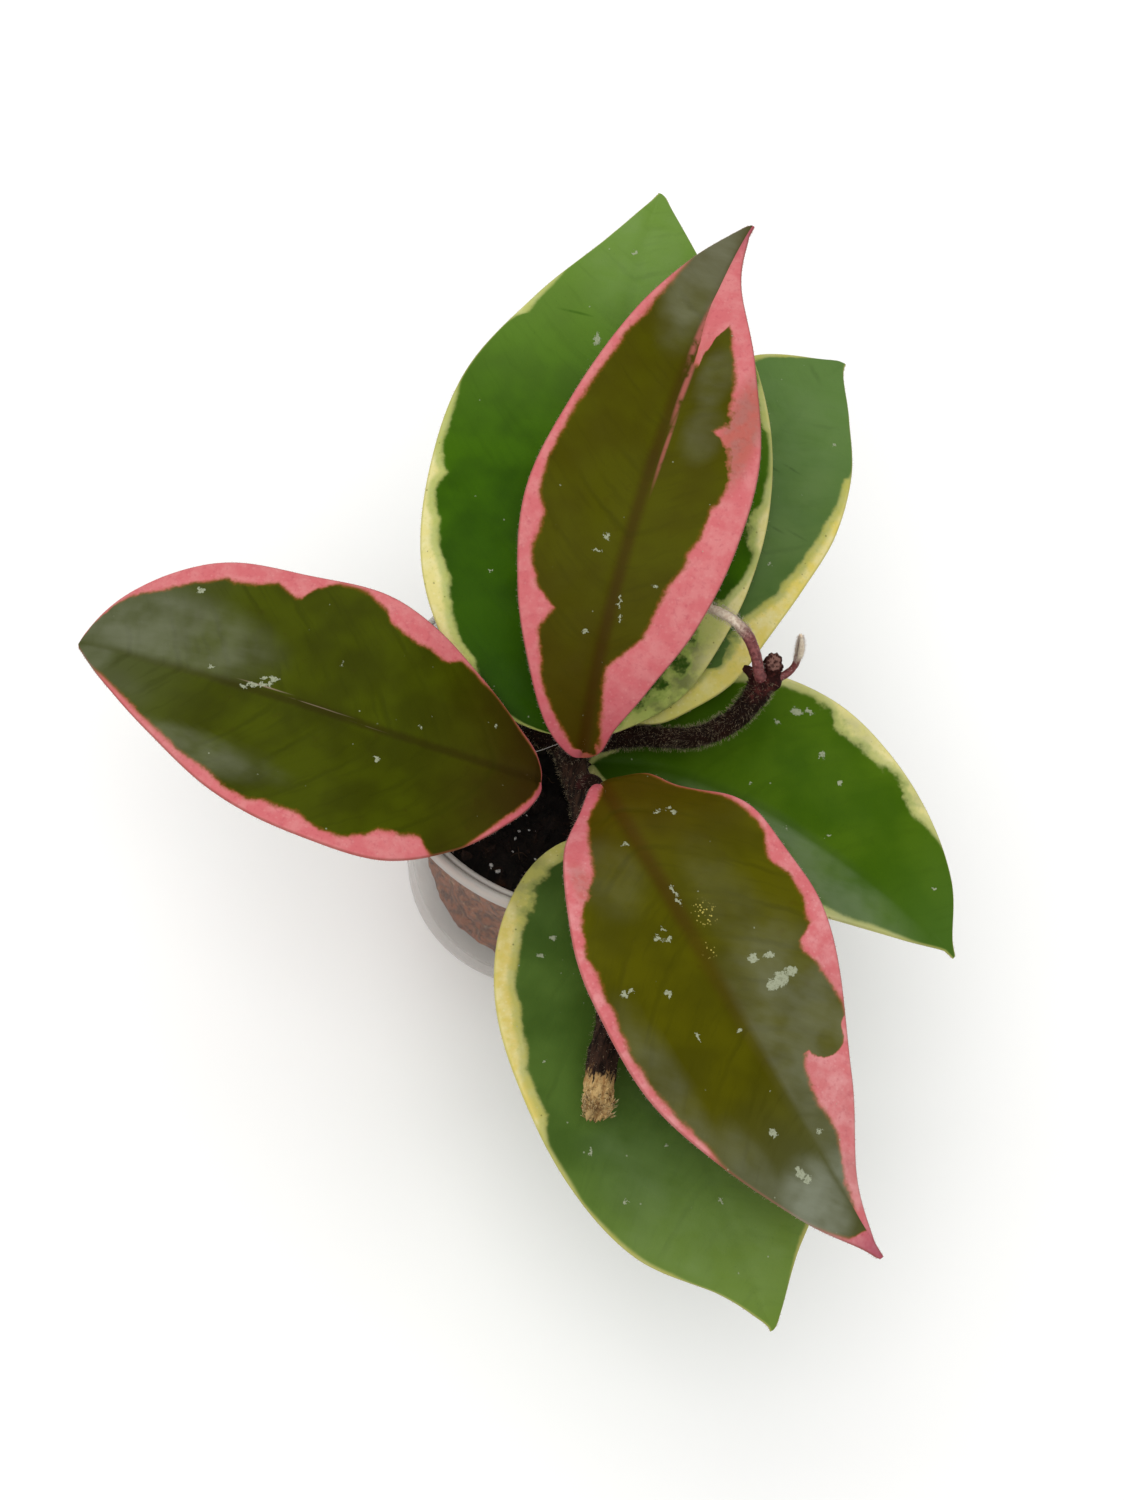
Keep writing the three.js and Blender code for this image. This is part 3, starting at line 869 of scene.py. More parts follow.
# Each young leaf's name, sizes, number of hairs and seed
YOUNG_LEAVES = [
    ("young_leaf_long", YOUNG_LONG, 800, 61), ("young_leaf_short", YOUNG_SHORT, 600, 62),
]
THREAD = {
    "line": [(-5.6, -11.6, 62.6), (-4.3, -9.8, 61.1), (-2.9, -7.8, 59.7), (-1.5, -5.9, 58.1)],
    "radii": [0.045, 0.04, 0.045],
}
# Hairs on each stem: how many, the shares of its length between which they grow, and their scale
STEM_HAIRS = [
    ("side_shoot_hairs", SIDE_SHOOT, 3400, 0.0, 1.0, 1.0),
    ("main_stem_hairs", ROOT_STEM, 500, 0.7, 1.0, 1.0),
    ("twig_hairs", TWIG, 420, 0.0, 1.0, 1.0),
    ("cut_stem_hairs", OLD_STEM, 2200, 0.0, 0.905, 0.8),
]
FIRST_HAIR_SEED = 41
FRAYED_FIBRES = 130
FRAY_LEAN = Vector((0.06481811, 0.19557448, 0.97854447))


def ribbed(count, depth):
    """A round section with lengthwise ribs."""
    def section(share, angle, radius):
        ripple = 1 + depth * math.sin(count * angle + 3 * share)
        return radius * ripple, radius * ripple
    return section


def rooted_stem_body():
    body = rod(ROOT_STEM, sides=28, pitch=0.3)
    join_into(body, rod(TWIG, sides=24, pitch=0.3))
    roughened(body, height=0.3, size=1.6, seed=2.2)
    roughened(body, height=0.14, size=0.5, seed=4.1)
    return body


def old_stem_body():
    """The old stem, with a slanted, ragged cut and a dent where its pith was."""
    old = rod(OLD_STEM, sides=40, pitch=0.32, shape=ribbed(9, 0.035), rounding=0.22)
    share = old.verts.layers.float["share"]
    pith = old.verts.layers.float.new("pith")
    end, forward, _, _ = Path(OLD_STEM["line"]).at(1.0)
    roughened(old, height=0.28, size=1.3, seed=1.4)
    roughened(
        old, height=0.5, size=0.5, seed=8.8, where=lambda v: smooth_step(0.86, 0.99, v[share]))
    for vert in old.verts:
        away = vert.co - end
        across = away - forward * away.dot(forward)
        near_end = smooth_step(0.93, 0.985, vert[share])
        vert.co -= forward * (near_end * 0.62 * (across.z + 1.9))
        if vert[share] > 0.965:
            vert.co -= forward * (0.8 * smooth_step(1.3, 0.2, across.length))
            vert[pith] = (smooth_step(1.15, 0.5, across.length)
                          * smooth_step(0.97, 0.99, vert[share]))
        ragged = noise.noise(vert.co * 1.7 + Vector((5, 1, 2)))
        vert.co += forward * (near_end * 0.9 * ragged)
    return old


def dry_bud_body():
    """The ribbed bud with its slanted, hollow cut."""
    bud = rod(DRY_BUD, sides=36, pitch=0.12, shape=ribbed(9, 0.09), rounding=0.3)
    top, forward, _, _ = Path(DRY_BUD["line"]).at(1.0)
    share = bud.verts.layers.float["share"]
    cut = bud.verts.layers.float.new("cut")
    for vert in bud.verts:
        away = vert.co - top
        across = away - forward * away.dot(forward)
        near_top = smooth_step(0.86, 0.96, vert[share])
        vert.co += forward * (near_top * (0.62 * across.y - 0.25 * across.x - 0.1))
        vert.co -= forward * (0.3 * near_top * smooth_step(1.1, 0.6, across.length))
        vert[cut] = smooth_step(1.3, 1.0, across.length) * smooth_step(0.93, 0.97, vert[share])
    return bud


def side_shoot_body():
    """The side shoot with its swollen node, dried bud and stipule."""
    shoot = rod(SIDE_SHOOT, sides=32, pitch=0.28)
    node = bmesh.new()
    bmesh.ops.create_icosphere(
        node, subdivisions=4, radius=SHOOT_NODE["radius"],
        matrix=Matrix.Translation(SHOOT_NODE["centre"]) @ Matrix.Diagonal(
            (1, 1, SHOOT_NODE["flatness"], 1)))
    node.verts.layers.float.new("share")
    shoot.verts.layers.float.new("cut")
    join_into(shoot, node)
    join_into(shoot, dry_bud_body())
    join_into(shoot, rod(STIPULE, sides=14, pitch=0.2))
    roughened(shoot, height=0.16, size=1.5, seed=3.3)
    roughened(
        shoot, height=0.2, size=0.45, seed=6.1,
        where=lambda v: 0.4 + 0.6 * smooth_step(68, 72, v.co.z))
    return shoot


def frayed_fibres():
    """Straw fibres at the old stem's cut end, which lean upwards."""
    draw = random.Random(SEEDS["frayed"])
    spots = []
    for point, outward in spots_on_rod(OLD_STEM, FRAYED_FIBRES, draw, start=0.955, end=0.998):
        lean = FRAY_LEAN * draw.uniform(0.6, 1.4)
        spots.append((point, (outward * 0.45 + lean).normalized()))
    return hairs(spots, draw, length=1.3, thickness=0.09, droop=0.05, lean=0.12)


def folded_section(share, angle, radius):
    """A young blade folded along its midrib, with a groove on top from halfway up."""
    opened = smooth_step(0.38, 0.6, share)
    groove = opened * 0.5 * math.exp(-((angle - math.pi / 2) / 0.34) ** 2)
    return radius * (1 + 0.12 * opened), radius * (1 - 0.22 * opened) * (1 - groove)


def young_leaf_body(sizes):
    """A young folded leaf, with its groove marked for the finish."""
    body = rod(sizes, sides=28, pitch=0.2, shape=folded_section)
    groove = body.verts.layers.float.new("groove")
    share = body.verts.layers.float["share"]
    path = Path(sizes["line"])
    for vert in body.verts:
        point, _, side, over = path.at(vert[share])
        away = vert.co - point
        angle = math.atan2(away.dot(over), away.dot(side))
        opened = smooth_step(0.4, 0.6, vert[share]) * smooth_step(0.97, 0.9, vert[share])
        vert[groove] = opened * math.exp(-((angle - math.pi / 2) / 0.5) ** 2)
    roughened(body, height=0.08, size=0.8, seed=1.9)
    return body


def stem_finish(name, colour, warm, pale, node_from=None):
    """Dark hairy bark. Above node_from mm it turns to the redder, ridged skin of a node."""
    finish = Finish(name)
    place = finish.place()
    streaks = finish.noise(place, detail=4, roughness=0.65, scale=1.3)
    broad = finish.noise(place, detail=3, scale=0.28)
    scales = finish.cells(place, 2.2)
    shade = finish.layered(
        dimmed(colour, 0.4),
        (streaks.rise(0.3, 0.7), colour),
        (broad.rise(0.5, 0.75) * 0.6, warm),
        (streaks.rise(0.66, 0.8) * 0.35, pale))
    if node_from:
        node_part = (finish.height(place) + streaks).rise(node_from, node_from + 2)
        node_skin = finish.mix(streaks.rise(0.45, 0.7), tint(40, 15, 13), tint(80, 38, 34))
        grain = finish.cells(place, 1.7)
        cut_face = finish.layered(
            tint(60, 32, 28),
            (grain.rise(0.3, 0.6), tint(134, 98, 88)),
            (streaks.rise(0.5, 0.62) * 0.7, tint(40, 18, 16)))
        shade = finish.layered(
            shade, (node_part, node_skin), (finish.attribute("cut"), cut_face))
    return finish.surface(
        Base_Color=shade,
        Roughness=0.62 + streaks * 0.25,
        Specular_IOR_Level=0.08,
        Normal=finish.bump(streaks * 0.14 - scales * 0.08, 0.9))


def old_stem_finish(sizes):
    """Dark streaked bark that turns to dry straw at the cut end."""
    finish = Finish("old_stem_bark")
    share = finish.attribute("share")
    streaks = finish.noise(finish.place(0.55, 3.2, 0.55), detail=5, roughness=0.65, scale=0.8)
    fine = finish.noise(finish.place(), detail=4, roughness=0.7, scale=2.6)
    bark = finish.layered(
        tint(24, 16, 12),
        (streaks.rise(0.38, 0.62), tint(60, 41, 31)),
        (streaks.rise(0.66, 0.76) * 0.45, tint(118, 96, 74)))
    straw = finish.layered(
        tuple(sizes.cut_end),
        (streaks.rise(0.4, 0.65), tint(150, 112, 66)),
        (fine.rise(0.6, 0.75) * 0.8, tint(220, 198, 148)))
    dry = (share + (fine - 0.5) * 0.03 + (streaks - 0.5) * 0.16).rise(0.9, 0.922)
    pith = finish.attribute("pith") * fine.rise(0.3, 0.55)
    return finish.surface(
        Base_Color=finish.layered(bark, (dry, straw), (pith, tint(70, 38, 20))),
        Roughness=0.8,
        Specular_IOR_Level=0.08,
        Normal=finish.bump(streaks * 0.3 + fine * 0.12, 1.0))


def hair_finish(name, root, tip):
    finish = Finish(name)
    share = finish.attribute("share")
    wisps = finish.noise(finish.place(), detail=2, scale=0.6)
    shade = finish.layered(
        root, (share.rise(0.4, 0.85), tip), (wisps.rise(0.4, 0.7) * 0.2, tip))
    return finish.surface(Base_Color=shade, Roughness=0.55, Specular_IOR_Level=0.3)


def young_leaf_finish():
    """A purple-red stalk under a silver beige blade with a dark groove."""
    finish = Finish("young_leaf_skin")
    share = finish.attribute("share")
    fine = finish.noise(finish.place(), detail=4, roughness=0.6, scale=1.8)
    stalk = finish.mix(fine.rise(0.35, 0.65), tint(98, 42, 44), tint(142, 78, 76))
    blade = finish.layered(
        tint(220, 198, 172),
        (fine.rise(0.35, 0.65), tint(250, 238, 214)),
        (finish.attribute("groove"), tint(74, 38, 34)))
    return finish.surface(
        Base_Color=finish.mix((share + (fine - 0.5) * 0.12).rise(0.4, 0.62), stalk, blade),
        Roughness=0.5 + fine * 0.2,
        Specular_IOR_Level=0.45,
        Normal=finish.bump(fine * 0.12, 0.8))


# Leaves
# Each leaf: the midrib's base, two handles and tip; the half-width on each side at equal steps of
# the angle that the half circle over the midrib turns through; the fold in degrees; the curl of
# each half's margin; the margin's waves as height, count and phase; the petiole's start and
# bends. Left and right are seen from above, from the base towards the tip. left_rim and right_rim
# are (distance from the base, width of the coloured margin) pairs. islands are (along, across,
# half-length, half-width, gain) spots where the centre colour is gained or lost. veils are such
# spots where the two colours mix, and the sheen spots are such spots where a grey sheen is
# painted into the colour and the coat is glossier. marks are (along, across, half-length,
# half-width) spots with dried water marks, dots are such spots with yellow dots, and streaks are
# such spots in their own tint: pink and pale lines on the young leaves, and creases painted as
# darker lines, painted shade, on leaf_back_left and leaf_back_right. vein_pitch is the distance
# between two side veins, and vein_depth is how deep they lie.

LEAVES = {
    "leaf_top": {
        "midrib": [(1.5, -11, 64.5), (-1.5, -3.5, 82), (-4, 26.5, 97), (2, 65.5, 97)],
        "left": [2.6, 6, 9.5, 13.5, 16, 14, 10.5, 6, 2],
        "right": [2.6, 4.2, 8, 12.5, 15, 14.5, 9, 2.5, 0.5],
        "fold": 9, "curl": (-1.2, -1.2), "wave": (0.5, 2.5, 0.5),
        "petiole": [(-0.9, -6, 56.6), (-0.4, -8.8, 60.2)],
        "left_rim": [
            (0, 1.6), (3.7, 2.2), (5.9, 2.2), (9.4, 1.7), (11.7, 1.5), (14.5, 1.9), (16.5, 2.4),
            (18.6, 2.4), (19.9, 3.7), (21.7, 5.2), (22.6, 4.2), (24, 3), (27, 2.2), (29.1, 2),
            (30.6, 2.8), (33.5, 3.4), (34.5, 2.6), (36.1, 2.1), (39.6, 1.6), (44.3, 1.5),
            (49.6, 1.2), (55, 1.5), (58.5, 1.6), (61.3, 1.3), (64.7, 1.6), (70.5, 1.1),
            (73, 0.7), (76, 0.2), (78, -0.5), (88, -0.5)],
        "right_rim": [
            (0, 0.5), (3.4, 0.9), (7.9, 3.5), (11.3, 5.8), (14.5, 7.6), (15.3, 7.7), (17.3, 7.1),
            (19.4, 6.3), (21.7, 6.2), (26.5, 6.7), (28.5, 6.7), (31.2, 6), (33.4, 6.1),
            (35.6, 5.5), (40.7, 5.3), (43.7, 4.1), (45.4, 4.3), (48.4, 4.7), (50.2, 5.1),
            (51.4, 5.6), (52, 7), (53, 6), (54.4, 5.1), (57.3, 4.3), (61.3, 3.4), (65.2, 3.4),
            (68, 3.2), (69.6, 4), (70.6, 6), (71.4, 9), (88, 9)],
        "islands": [(65, 1.0, 8, 1.0, -6), (70, 1.4, 4, 1.5, -6), (0.1, -0.7, 1.7, 1.8, -1.8)],
        "streaks": [(66, -0.1, 8, 0.75), (57, 0.75, 8, 0.6), (47, 1.1, 8, 0.42)],
        "line_and_crease_shade_tint": tint(180, 98, 92),
        "veils": [
            (53, 10.5, 9, 2.8, 0.5), (54, 1.3, 12, 1.0, 0.25), (1.2, 0.8, 2.4, 1.2, 0.7)],
        "marks": [
            (32.8, -3.2, 0.45, 0.5), (30.6, -3.9, 0.2, 0.45), (19.4, -2.7, 0.25, 0.6),
            (24.5, 1.1, 1.0, 0.2), (22.1, 1.6, 0.6, 0.2), (28, 5.3, 0.2, 0.45)],
        "painted_sheen": [
            (76, -3.2, 12, 4, 0.7), (51, 5.5, 4, 2.6, 0.25), (60, 4.4, 4.5, 2.2, 0.35)],
        "vein_pitch": 8.5, "vein_depth": 0.03,
        "looks": "young",
    },
    "leaf_front": {
        "midrib": [(5, -13.5, 63.5), (13.5, -27, 74), (30.5, -45.5, 73), (60.5, -68, 60)],
        "left": [6.5, 10, 16, 18.5, 19, 16, 9.5, 3, 0.5],
        "right": [2, 5, 10.5, 14.5, 17.5, 17.5, 13.5, 7.5, 2],
        "fold": 8, "curl": (-1.2, -1.2), "wave": (0.6, 3.5, 2),
        "petiole": [(2.6, -12.6, 57.6), (3.8, -12.4, 61)],
        "left_rim": [
            (0, 0.3), (4.2, 0.5), (7.6, 0.6), (11.6, 0.9), (14.2, 1.2), (17.9, 1.2), (20.3, 1.3),
            (21.9, 2.2), (24.5, 3.3), (28.2, 2.2), (32.1, 2.2), (34.6, 2.8), (36.5, 2.7),
            (37.7, 5.1), (39.3, 5), (41.9, 3.4), (44.6, 2.2), (46.3, 1.4), (48.4, 0.4),
            (50.2, 0.2), (50.9, 5), (51.2, 7.3), (53.5, 7.6), (54.4, 7.3), (56.5, 6.6),
            (58.6, 6), (60.7, 4.6), (63.7, 3.1), (66.5, 2.7), (68.8, 2.4), (70.8, 1.9),
            (74, 1.6), (81, 1.6)],
        "right_rim": [
            (0, 1.9), (4.4, 2.4), (6.4, 2), (10.1, 3.3), (13.6, 4.1), (16, 4.6), (17.5, 4.2),
            (19.9, 3.3), (21.5, 2), (24.5, 1.6), (27.3, 1.4), (29.2, 2), (33.6, 1.8), (35.1, 2.1),
            (37.2, 1.5), (39.3, 1.5), (41.9, 1.2), (43.6, 1.5), (46.3, 1.2), (48.4, 1.4),
            (51.7, 1.1), (55.5, 1), (56.5, 0.6), (58, 0.1), (60, -0.2), (70, -0.2), (74, 0.3),
            (77, 0.8), (81, 0.8)],
        "islands": [(51.9, -9.9, 2.5, 2.9, 7), (80.5, 0, 4, 4, -5)],
        "veils": [(19, 10.5, 4, 1.6, 0.3), (66, 2.5, 5, 3.5, 0.35)],
        "marks": [
            (36.9, -5.9, 0.7, 0.7), (37.5, -7.9, 0.6, 0.8), (41.4, -6.3, 0.9, 0.9),
            (41.3, -7.9, 1.2, 1.1), (41.0, -9.6, 0.9, 0.8), (10.4, -4.8, 0.25, 0.6),
            (10.4, -6.4, 0.3, 0.5), (11.6, -6.9, 0.3, 0.5), (13.9, 1.9, 0.2, 0.6),
            (23.2, -0.9, 1.0, 0.3), (24.8, -0.7, 0.5, 0.3), (28.7, 4.8, 0.5, 0.6),
            (29.3, 3.5, 0.4, 0.8), (27.7, 3.3, 0.4, 0.3), (33.6, 13.1, 0.45, 0.5),
            (33.6, 11.9, 0.3, 0.5), (35.8, 7.5, 0.6, 0.5), (58.6, 4.4, 0.6, 0.6),
            (61.7, -1.5, 0.3, 0.3), (64.9, 4.1, 0.9, 0.7), (66.2, 3.6, 0.5, 0.7),
            (42.7, 6.8, 0.7, 0.3), (44.6, 0.9, 0.25, 0.5)],
        "dots": [(28.0, -3.1, 2.2, 2.0), (33.1, -0.9, 1.3, 1.0)],
        "painted_sheen": [
            (53, -8, 19, 8, 0.55), (69.5, 4, 5.5, 4.5, 1.5), (70, -1.5, 4.5, 3, 1.1),
            (49, 14.6, 13, 3, 0.32), (62, 10, 7, 2.6, 0.4),
            (18, 6.5, 6, 4.5, 0.15), (27, -7, 9, 4, 0.12)],
        "vein_pitch": 7.5, "vein_depth": 0.06,
        "looks": "young_front",
    },
    "leaf_left": {
        "midrib": [(-3, -15, 61), (-18, -19.5, 69), (-48, -18.5, 70), (-73.5, -15.5, 60)],
        "left": [3.5, 8.5, 15, 20, 20, 17, 11.5, 6, 2],
        "right": [4, 7.5, 13, 18, 21, 20.5, 18.5, 13.5, 7.5],
        "fold": 8, "curl": (-1.2, -1.2), "wave": (0.6, 2.5, 1),
        "petiole": [(-9, -6.8, 53.8), (-6, -12, 56.2)],
        "left_rim": [
            (0, 1.6), (3.3, 1.5), (5.4, 1.4), (7.9, 1.1), (10, 0.3), (11, -0.3), (14.3, -0.3),
            (14.8, 0.6), (15.6, 1.5), (15.9, 2.9), (17.1, 3.7), (19.5, 4.2), (22, 4.4),
            (22.9, 3.4), (25.6, 2.1), (28.4, 1.7), (30.3, 2.4), (32.7, 3.3), (34.2, 3),
            (37.1, 2.6), (39.6, 1.5), (43, 1.5), (45, 2), (48.3, 1.5), (50.7, 1.4), (54.3, 1.2),
            (60.8, 1), (66, 0.5), (69, -0.3), (73, -0.3)],
        "right_rim": [
            (0, 0.9), (3, 0.6), (7.3, 0.3), (10.1, 0.3), (12.4, 0.7), (14.1, 0.7), (16.7, 1.3),
            (18.7, 3.4), (20.3, 3.8), (21.6, 3.6), (23.8, 4.4), (26.5, 4.3), (28.4, 4.1),
            (30.3, 2.4), (32.7, 1.4), (34.2, 0.7), (38.6, 0.6), (40.1, 1.4), (42, 2.4),
            (42.5, 4.1), (44, 4.8), (45.5, 3.7), (47.4, 2.7), (50.2, 3.6), (53.4, 3.8),
            (55.1, 3.1), (57.6, 3.3), (61.1, 3.4), (64.2, 3), (66.5, 2.2), (68, 1.4), (73, 1)],
        "islands": [],
        "veils": [(69, 3.5, 3.2, 3.2, 0.5)],
        "marks": [
            (58, 12.6, 0.6, 0.6), (45.9, 0.1, 0.7, 0.35), (44.8, 0.7, 0.9, 0.3),
            (43.3, 1.1, 0.8, 0.35), (42.4, 1.6, 0.4, 0.4), (43.4, 2.2, 0.5, 0.3),
            (42.2, 2.4, 0.7, 0.45), (24.7, -4.8, 0.35, 0.5), (33.7, 7.7, 0.25, 0.25),
            (9, 6.1, 0.25, 0.35), (19.9, 2.3, 0.25, 0.25), (51.5, 1.4, 0.5, 0.3)],
        "streaks": [(43, 0.9, 5, 0.16), (34, 0.4, 6, 0.12), (27, -0.1, 4, 0.1)],
        "line_and_crease_shade_tint": tint(158, 136, 118),
        "painted_sheen": [
            (60, 5, 15, 6, 0.5), (52, -12.4, 14, 2.8, 0.45), (64, -7, 6, 3.5, 0.1),
            (69, -1.5, 3, 3, 0.4)],
        "vein_pitch": 8, "vein_depth": 0.04,
        "looks": "young_left",
    },
    "leaf_back_left": {
        "midrib": [(0.5, -5.5, 60), (-5, 13, 70), (-13.5, 39, 80), (-13, 77.5, 84)],
        "left": [9, 15.5, 21.5, 25, 25, 22, 14, 6, 1.5],
        "right": [6.5, 14.5, 20, 24.5, 26.5, 25, 19.5, 10, 3],
        "fold": 4, "curl": (-2, -1.5), "wave": (0.4, 2, 0),
        "petiole": [(-0.8, -5.6, 56), (-0.2, -3.6, 57.6)],
        "left_rim": [
            (0, 0.8), (5, 0.6), (6.5, 0.8), (8, 1.4), (10.8, 2.9), (13.3, 2.4), (16, 2.6),
            (19.4, 3.2), (22.2, 3.7), (24.5, 3.3), (27, 2.5), (30.6, 2.5), (32.2, 1.7), (35, 1.3),
            (36.1, 1.7), (37.2, 2.5), (38.3, 1.7), (41.1, 0.8), (44, 1), (48.1, 0.6), (49.2, 0.3),
            (51, -0.3), (60, -0.3), (61.9, 0.4), (62.4, 1.3), (66.2, 0.8), (69.4, 0.4),
            (71, -0.2), (89, -0.2)],
        "right_rim": [
            (0, 0.6), (4, 4), (8, 6), (12, 6.5), (16, 7), (20, 5.5), (21.7, 3.5), (22.6, 2.8),
            (25.5, 1.6), (29.1, 0.8), (30.6, 0.9), (32.2, 2.2), (36.1, 2.6), (38.9, 1.3),
            (42.3, 1), (44, 0.5), (48.6, 0.4), (51.6, 0.5), (52.1, 1.3), (57.9, 1.2), (60, 0.3),
            (64, -0.2), (89, -0.2)],
        "islands": [
            (12, 14.6, 2.2, 1.9, 3.4), (7.6, 12.0, 1.8, 1.2, 3), (17, 16.5, 2.2, 1.4, 2.5)],
        "veils": [(10, 11, 10, 6.5, 0.95), (20, 17.5, 6, 3.5, 0.7), (34, 23, 5, 2, 0.4)],
        "marks": [(60.7, -3.5, 1.1, 0.5), (76.4, -1, 0.5, 0.3), (23.6, -14.8, 0.25, 0.3)],
        # A crease across the blade, painted as a darker line: painted shade.
        "streaks": [(64.1, -7.4, 0.34, 3.6)],
        "line_and_crease_shade_tint": tint(62, 98, 22),
        "painted_sheen": [(78, 0, 13, 8, 0.3)],
        "vein_pitch": 9, "vein_depth": 0.03,
        "looks": "bright",
    },
    "leaf_back_right": {
        "midrib": [(6, 1, 58), (9.5, 18, 65), (9.5, 40, 69), (23, 71, 66)],
        "left": [2, 5.5, 9, 12, 14, 15, 14.5, 11.5, 3.5],
        "right": [4.6, 8.2, 12.2, 14.2, 15.7, 16, 13, 7, 1.5],
        "fold": 4, "curl": (-1.5, -1.5), "wave": (0.4, 2.5, 1.5),
        "petiole": [(0.5, -4.9, 50.4), (1.9, -1.6, 51.2), (4.8, 0.8, 54.6)],
        "left_rim": [
            (0, 1), (10, 2), (25, 2.5), (40, 1.5), (55, 0.8), (60, 1.2), (68, 1), (71, -0.2),
            (74, -0.2)],
        "right_rim": [
            (0, 2.5), (6, 4), (11.8, 4.7), (13.1, 4.2), (15.1, 3.9), (16.9, 4), (19, 4.6),
            (21.1, 5.1), (22.7, 4.4), (25.7, 3.4), (27.8, 2.8), (30.1, 3.0), (32.8, 2.5),
            (35.1, 2.4), (37.5, 2.4), (41.3, 2.1), (43.7, 2.1), (47.5, 1.3), (50.3, 1.2),
            (52.6, 1), (53.5, 0.2), (55, -0.2), (74, -0.2)],
        "islands": [(14, 8.2, 1.6, 0.9, 3)],
        "veils": [(17, 8.5, 5, 2, 0.5)],
        "marks": [(57.5, 7.9, 0.3, 0.3), (31.9, 9.3, 0.3, 0.3)],
        # Creases across the blade, painted as darker lines: painted shade.
        "streaks": [
            (47.3, 2, 0.34, 2.2), (49, 4.8, 0.34, 2.2), (37.9, 7.6, 0.34, 2.2),
            (38.8, 10.8, 0.34, 2.4)],
        "line_and_crease_shade_tint": tint(70, 94, 46),
        "painted_sheen": [(45, 0, 24, 13, 0.3)],
        "vein_pitch": 9.5, "vein_depth": 0.07,
        "looks": "bluish",
    },
    "leaf_right": {
        "midrib": [(2.8, -5.4, 52), (19, 0.5, 54), (38.5, -6.5, 57), (63, -18, 53)],
        "left": [2, 4.5, 12, 19.3, 20.3, 18, 14, 8.5, 2],
        "right": [7.5, 11.5, 15, 17, 16.5, 13.5, 8.5, 4, 0.5],
        "fold": 15, "curl": (-0.5, -0.5), "wave": (0.4, 2, 0.7),
        "petiole": [(0.3, -5, 51.4), (1.8, -5.2, 51.1)],
        "left_rim": [
            (0, 1), (4, 1.5), (11.2, 1.8), (16.2, 1.6), (22.2, 1.6), (23.7, 1.3), (26.3, 1),
            (28.3, 1.3), (29.9, 2.3), (31.1, 3), (33.1, 3.5), (35.1, 3.1), (38, 2.4), (40.5, 1.4),
            (42.1, 1.4), (43.7, 2.4), (45.7, 2.5), (47.2, 1.6), (49.1, 0.9), (50.6, 0.3),
            (52.2, -0.2), (64.2, -0.2)],
        "right_rim": [
            (0, 2.5), (0.8, 6.6), (3.4, 6.6), (5.6, 2.6), (11.2, 1.3), (21.2, 1.2), (31.2, 1.4),
            (39.2, 2), (42.5, 2.2), (45.3, 1.4), (48.4, 0.7), (50.6, 0.8), (53.6, 0.5),
            (56.4, 0.1), (58.2, -0.2), (64.2, -0.2)],
        "islands": [],
        "veils": [(31.2, -17, 5, 2.2, 0.4), (42.2, -14.5, 4, 1.6, 0.45)],
        "marks": [
            (25.2, -15.9, 0.8, 0.6), (26.5, -16.8, 0.5, 0.5), (23.7, -13.2, 0.4, 0.4),
            (30.7, -11.8, 0.4, 0.55), (34.7, -9.7, 0.3, 0.3), (24, -2.6, 0.25, 0.25),
            (31.9, 0.8, 0.3, 0.3), (37.6, -2.1, 0.25, 0.25), (54.6, -5.6, 0.25, 0.25)],
        "painted_sheen": [(32.2, 8.5, 26, 9, 1.15)],
        "vein_pitch": 8, "vein_depth": 0.04,
        "looks": "mid_green",
    },
    "leaf_bottom": {
        "midrib": [(8, -14.5, 50), (19, -38.5, 57), (32, -60.5, 57), (50.5, -78, 46)],
        "left": [9, 15.5, 22, 25.5, 25, 22, 16.5, 7.5, 2.5],
        "right": [8, 14.5, 19.5, 22, 21.5, 19, 14, 5, 1],
        "fold": 4, "curl": (-1.5, -1.5), "wave": (0.4, 2, 2.2),
        "petiole": [(1, -4.8, 48.7), (2.4, -8, 48.4), (5.2, -11.2, 48.6)],
        "left_rim": [
            (0, 1), (10, 2), (20, 2.5), (30, 2), (40, 1.5), (50, 1), (60, 0.8), (68, 0.8),
            (72, 0.2), (75, -0.2), (79, -0.2)],
        "right_rim": [
            (0, 1.5), (2.5, 3.5), (4.6, 4.7), (5.7, 3.6), (7.1, 3.7), (9.6, 3.4), (13.1, 3.3),
            (16.3, 3.6), (18.8, 3.4), (21, 3.1), (23.7, 2.9), (26.4, 3.3), (29.8, 2.9),
            (32.2, 2.9), (34, 2.3), (35.1, 1.8), (38.6, 1.8), (41.5, 1.8), (43, 1), (45, 0.2),
            (49.3, 0.3), (51, 0.2), (53, -0.1), (57, 0.2), (62, 0.3), (65.4, 0.3), (68, -0.2),
            (79, -0.2)],
        "islands": [],
        "veils": [(9, 12.5, 8, 3.2, 0.6)],
        "marks": [
            (17.2, 11.2, 0.3, 0.6), (19.6, 13.7, 0.3, 0.5), (34.6, 17.2, 0.25, 0.25),
            (49.8, 4.5, 0.35, 0.25), (59.3, -0.3, 0.6, 0.2), (47.4, 15.0, 0.55, 0.2),
            (54.9, 12.7, 0.25, 0.25), (24, 6, 0.25, 0.25)],
        "painted_sheen": [(56, 0, 20, 14, 0.35)],
        "vein_pitch": 8, "vein_depth": 0.04,
        "looks": "cool_green",
    },
}
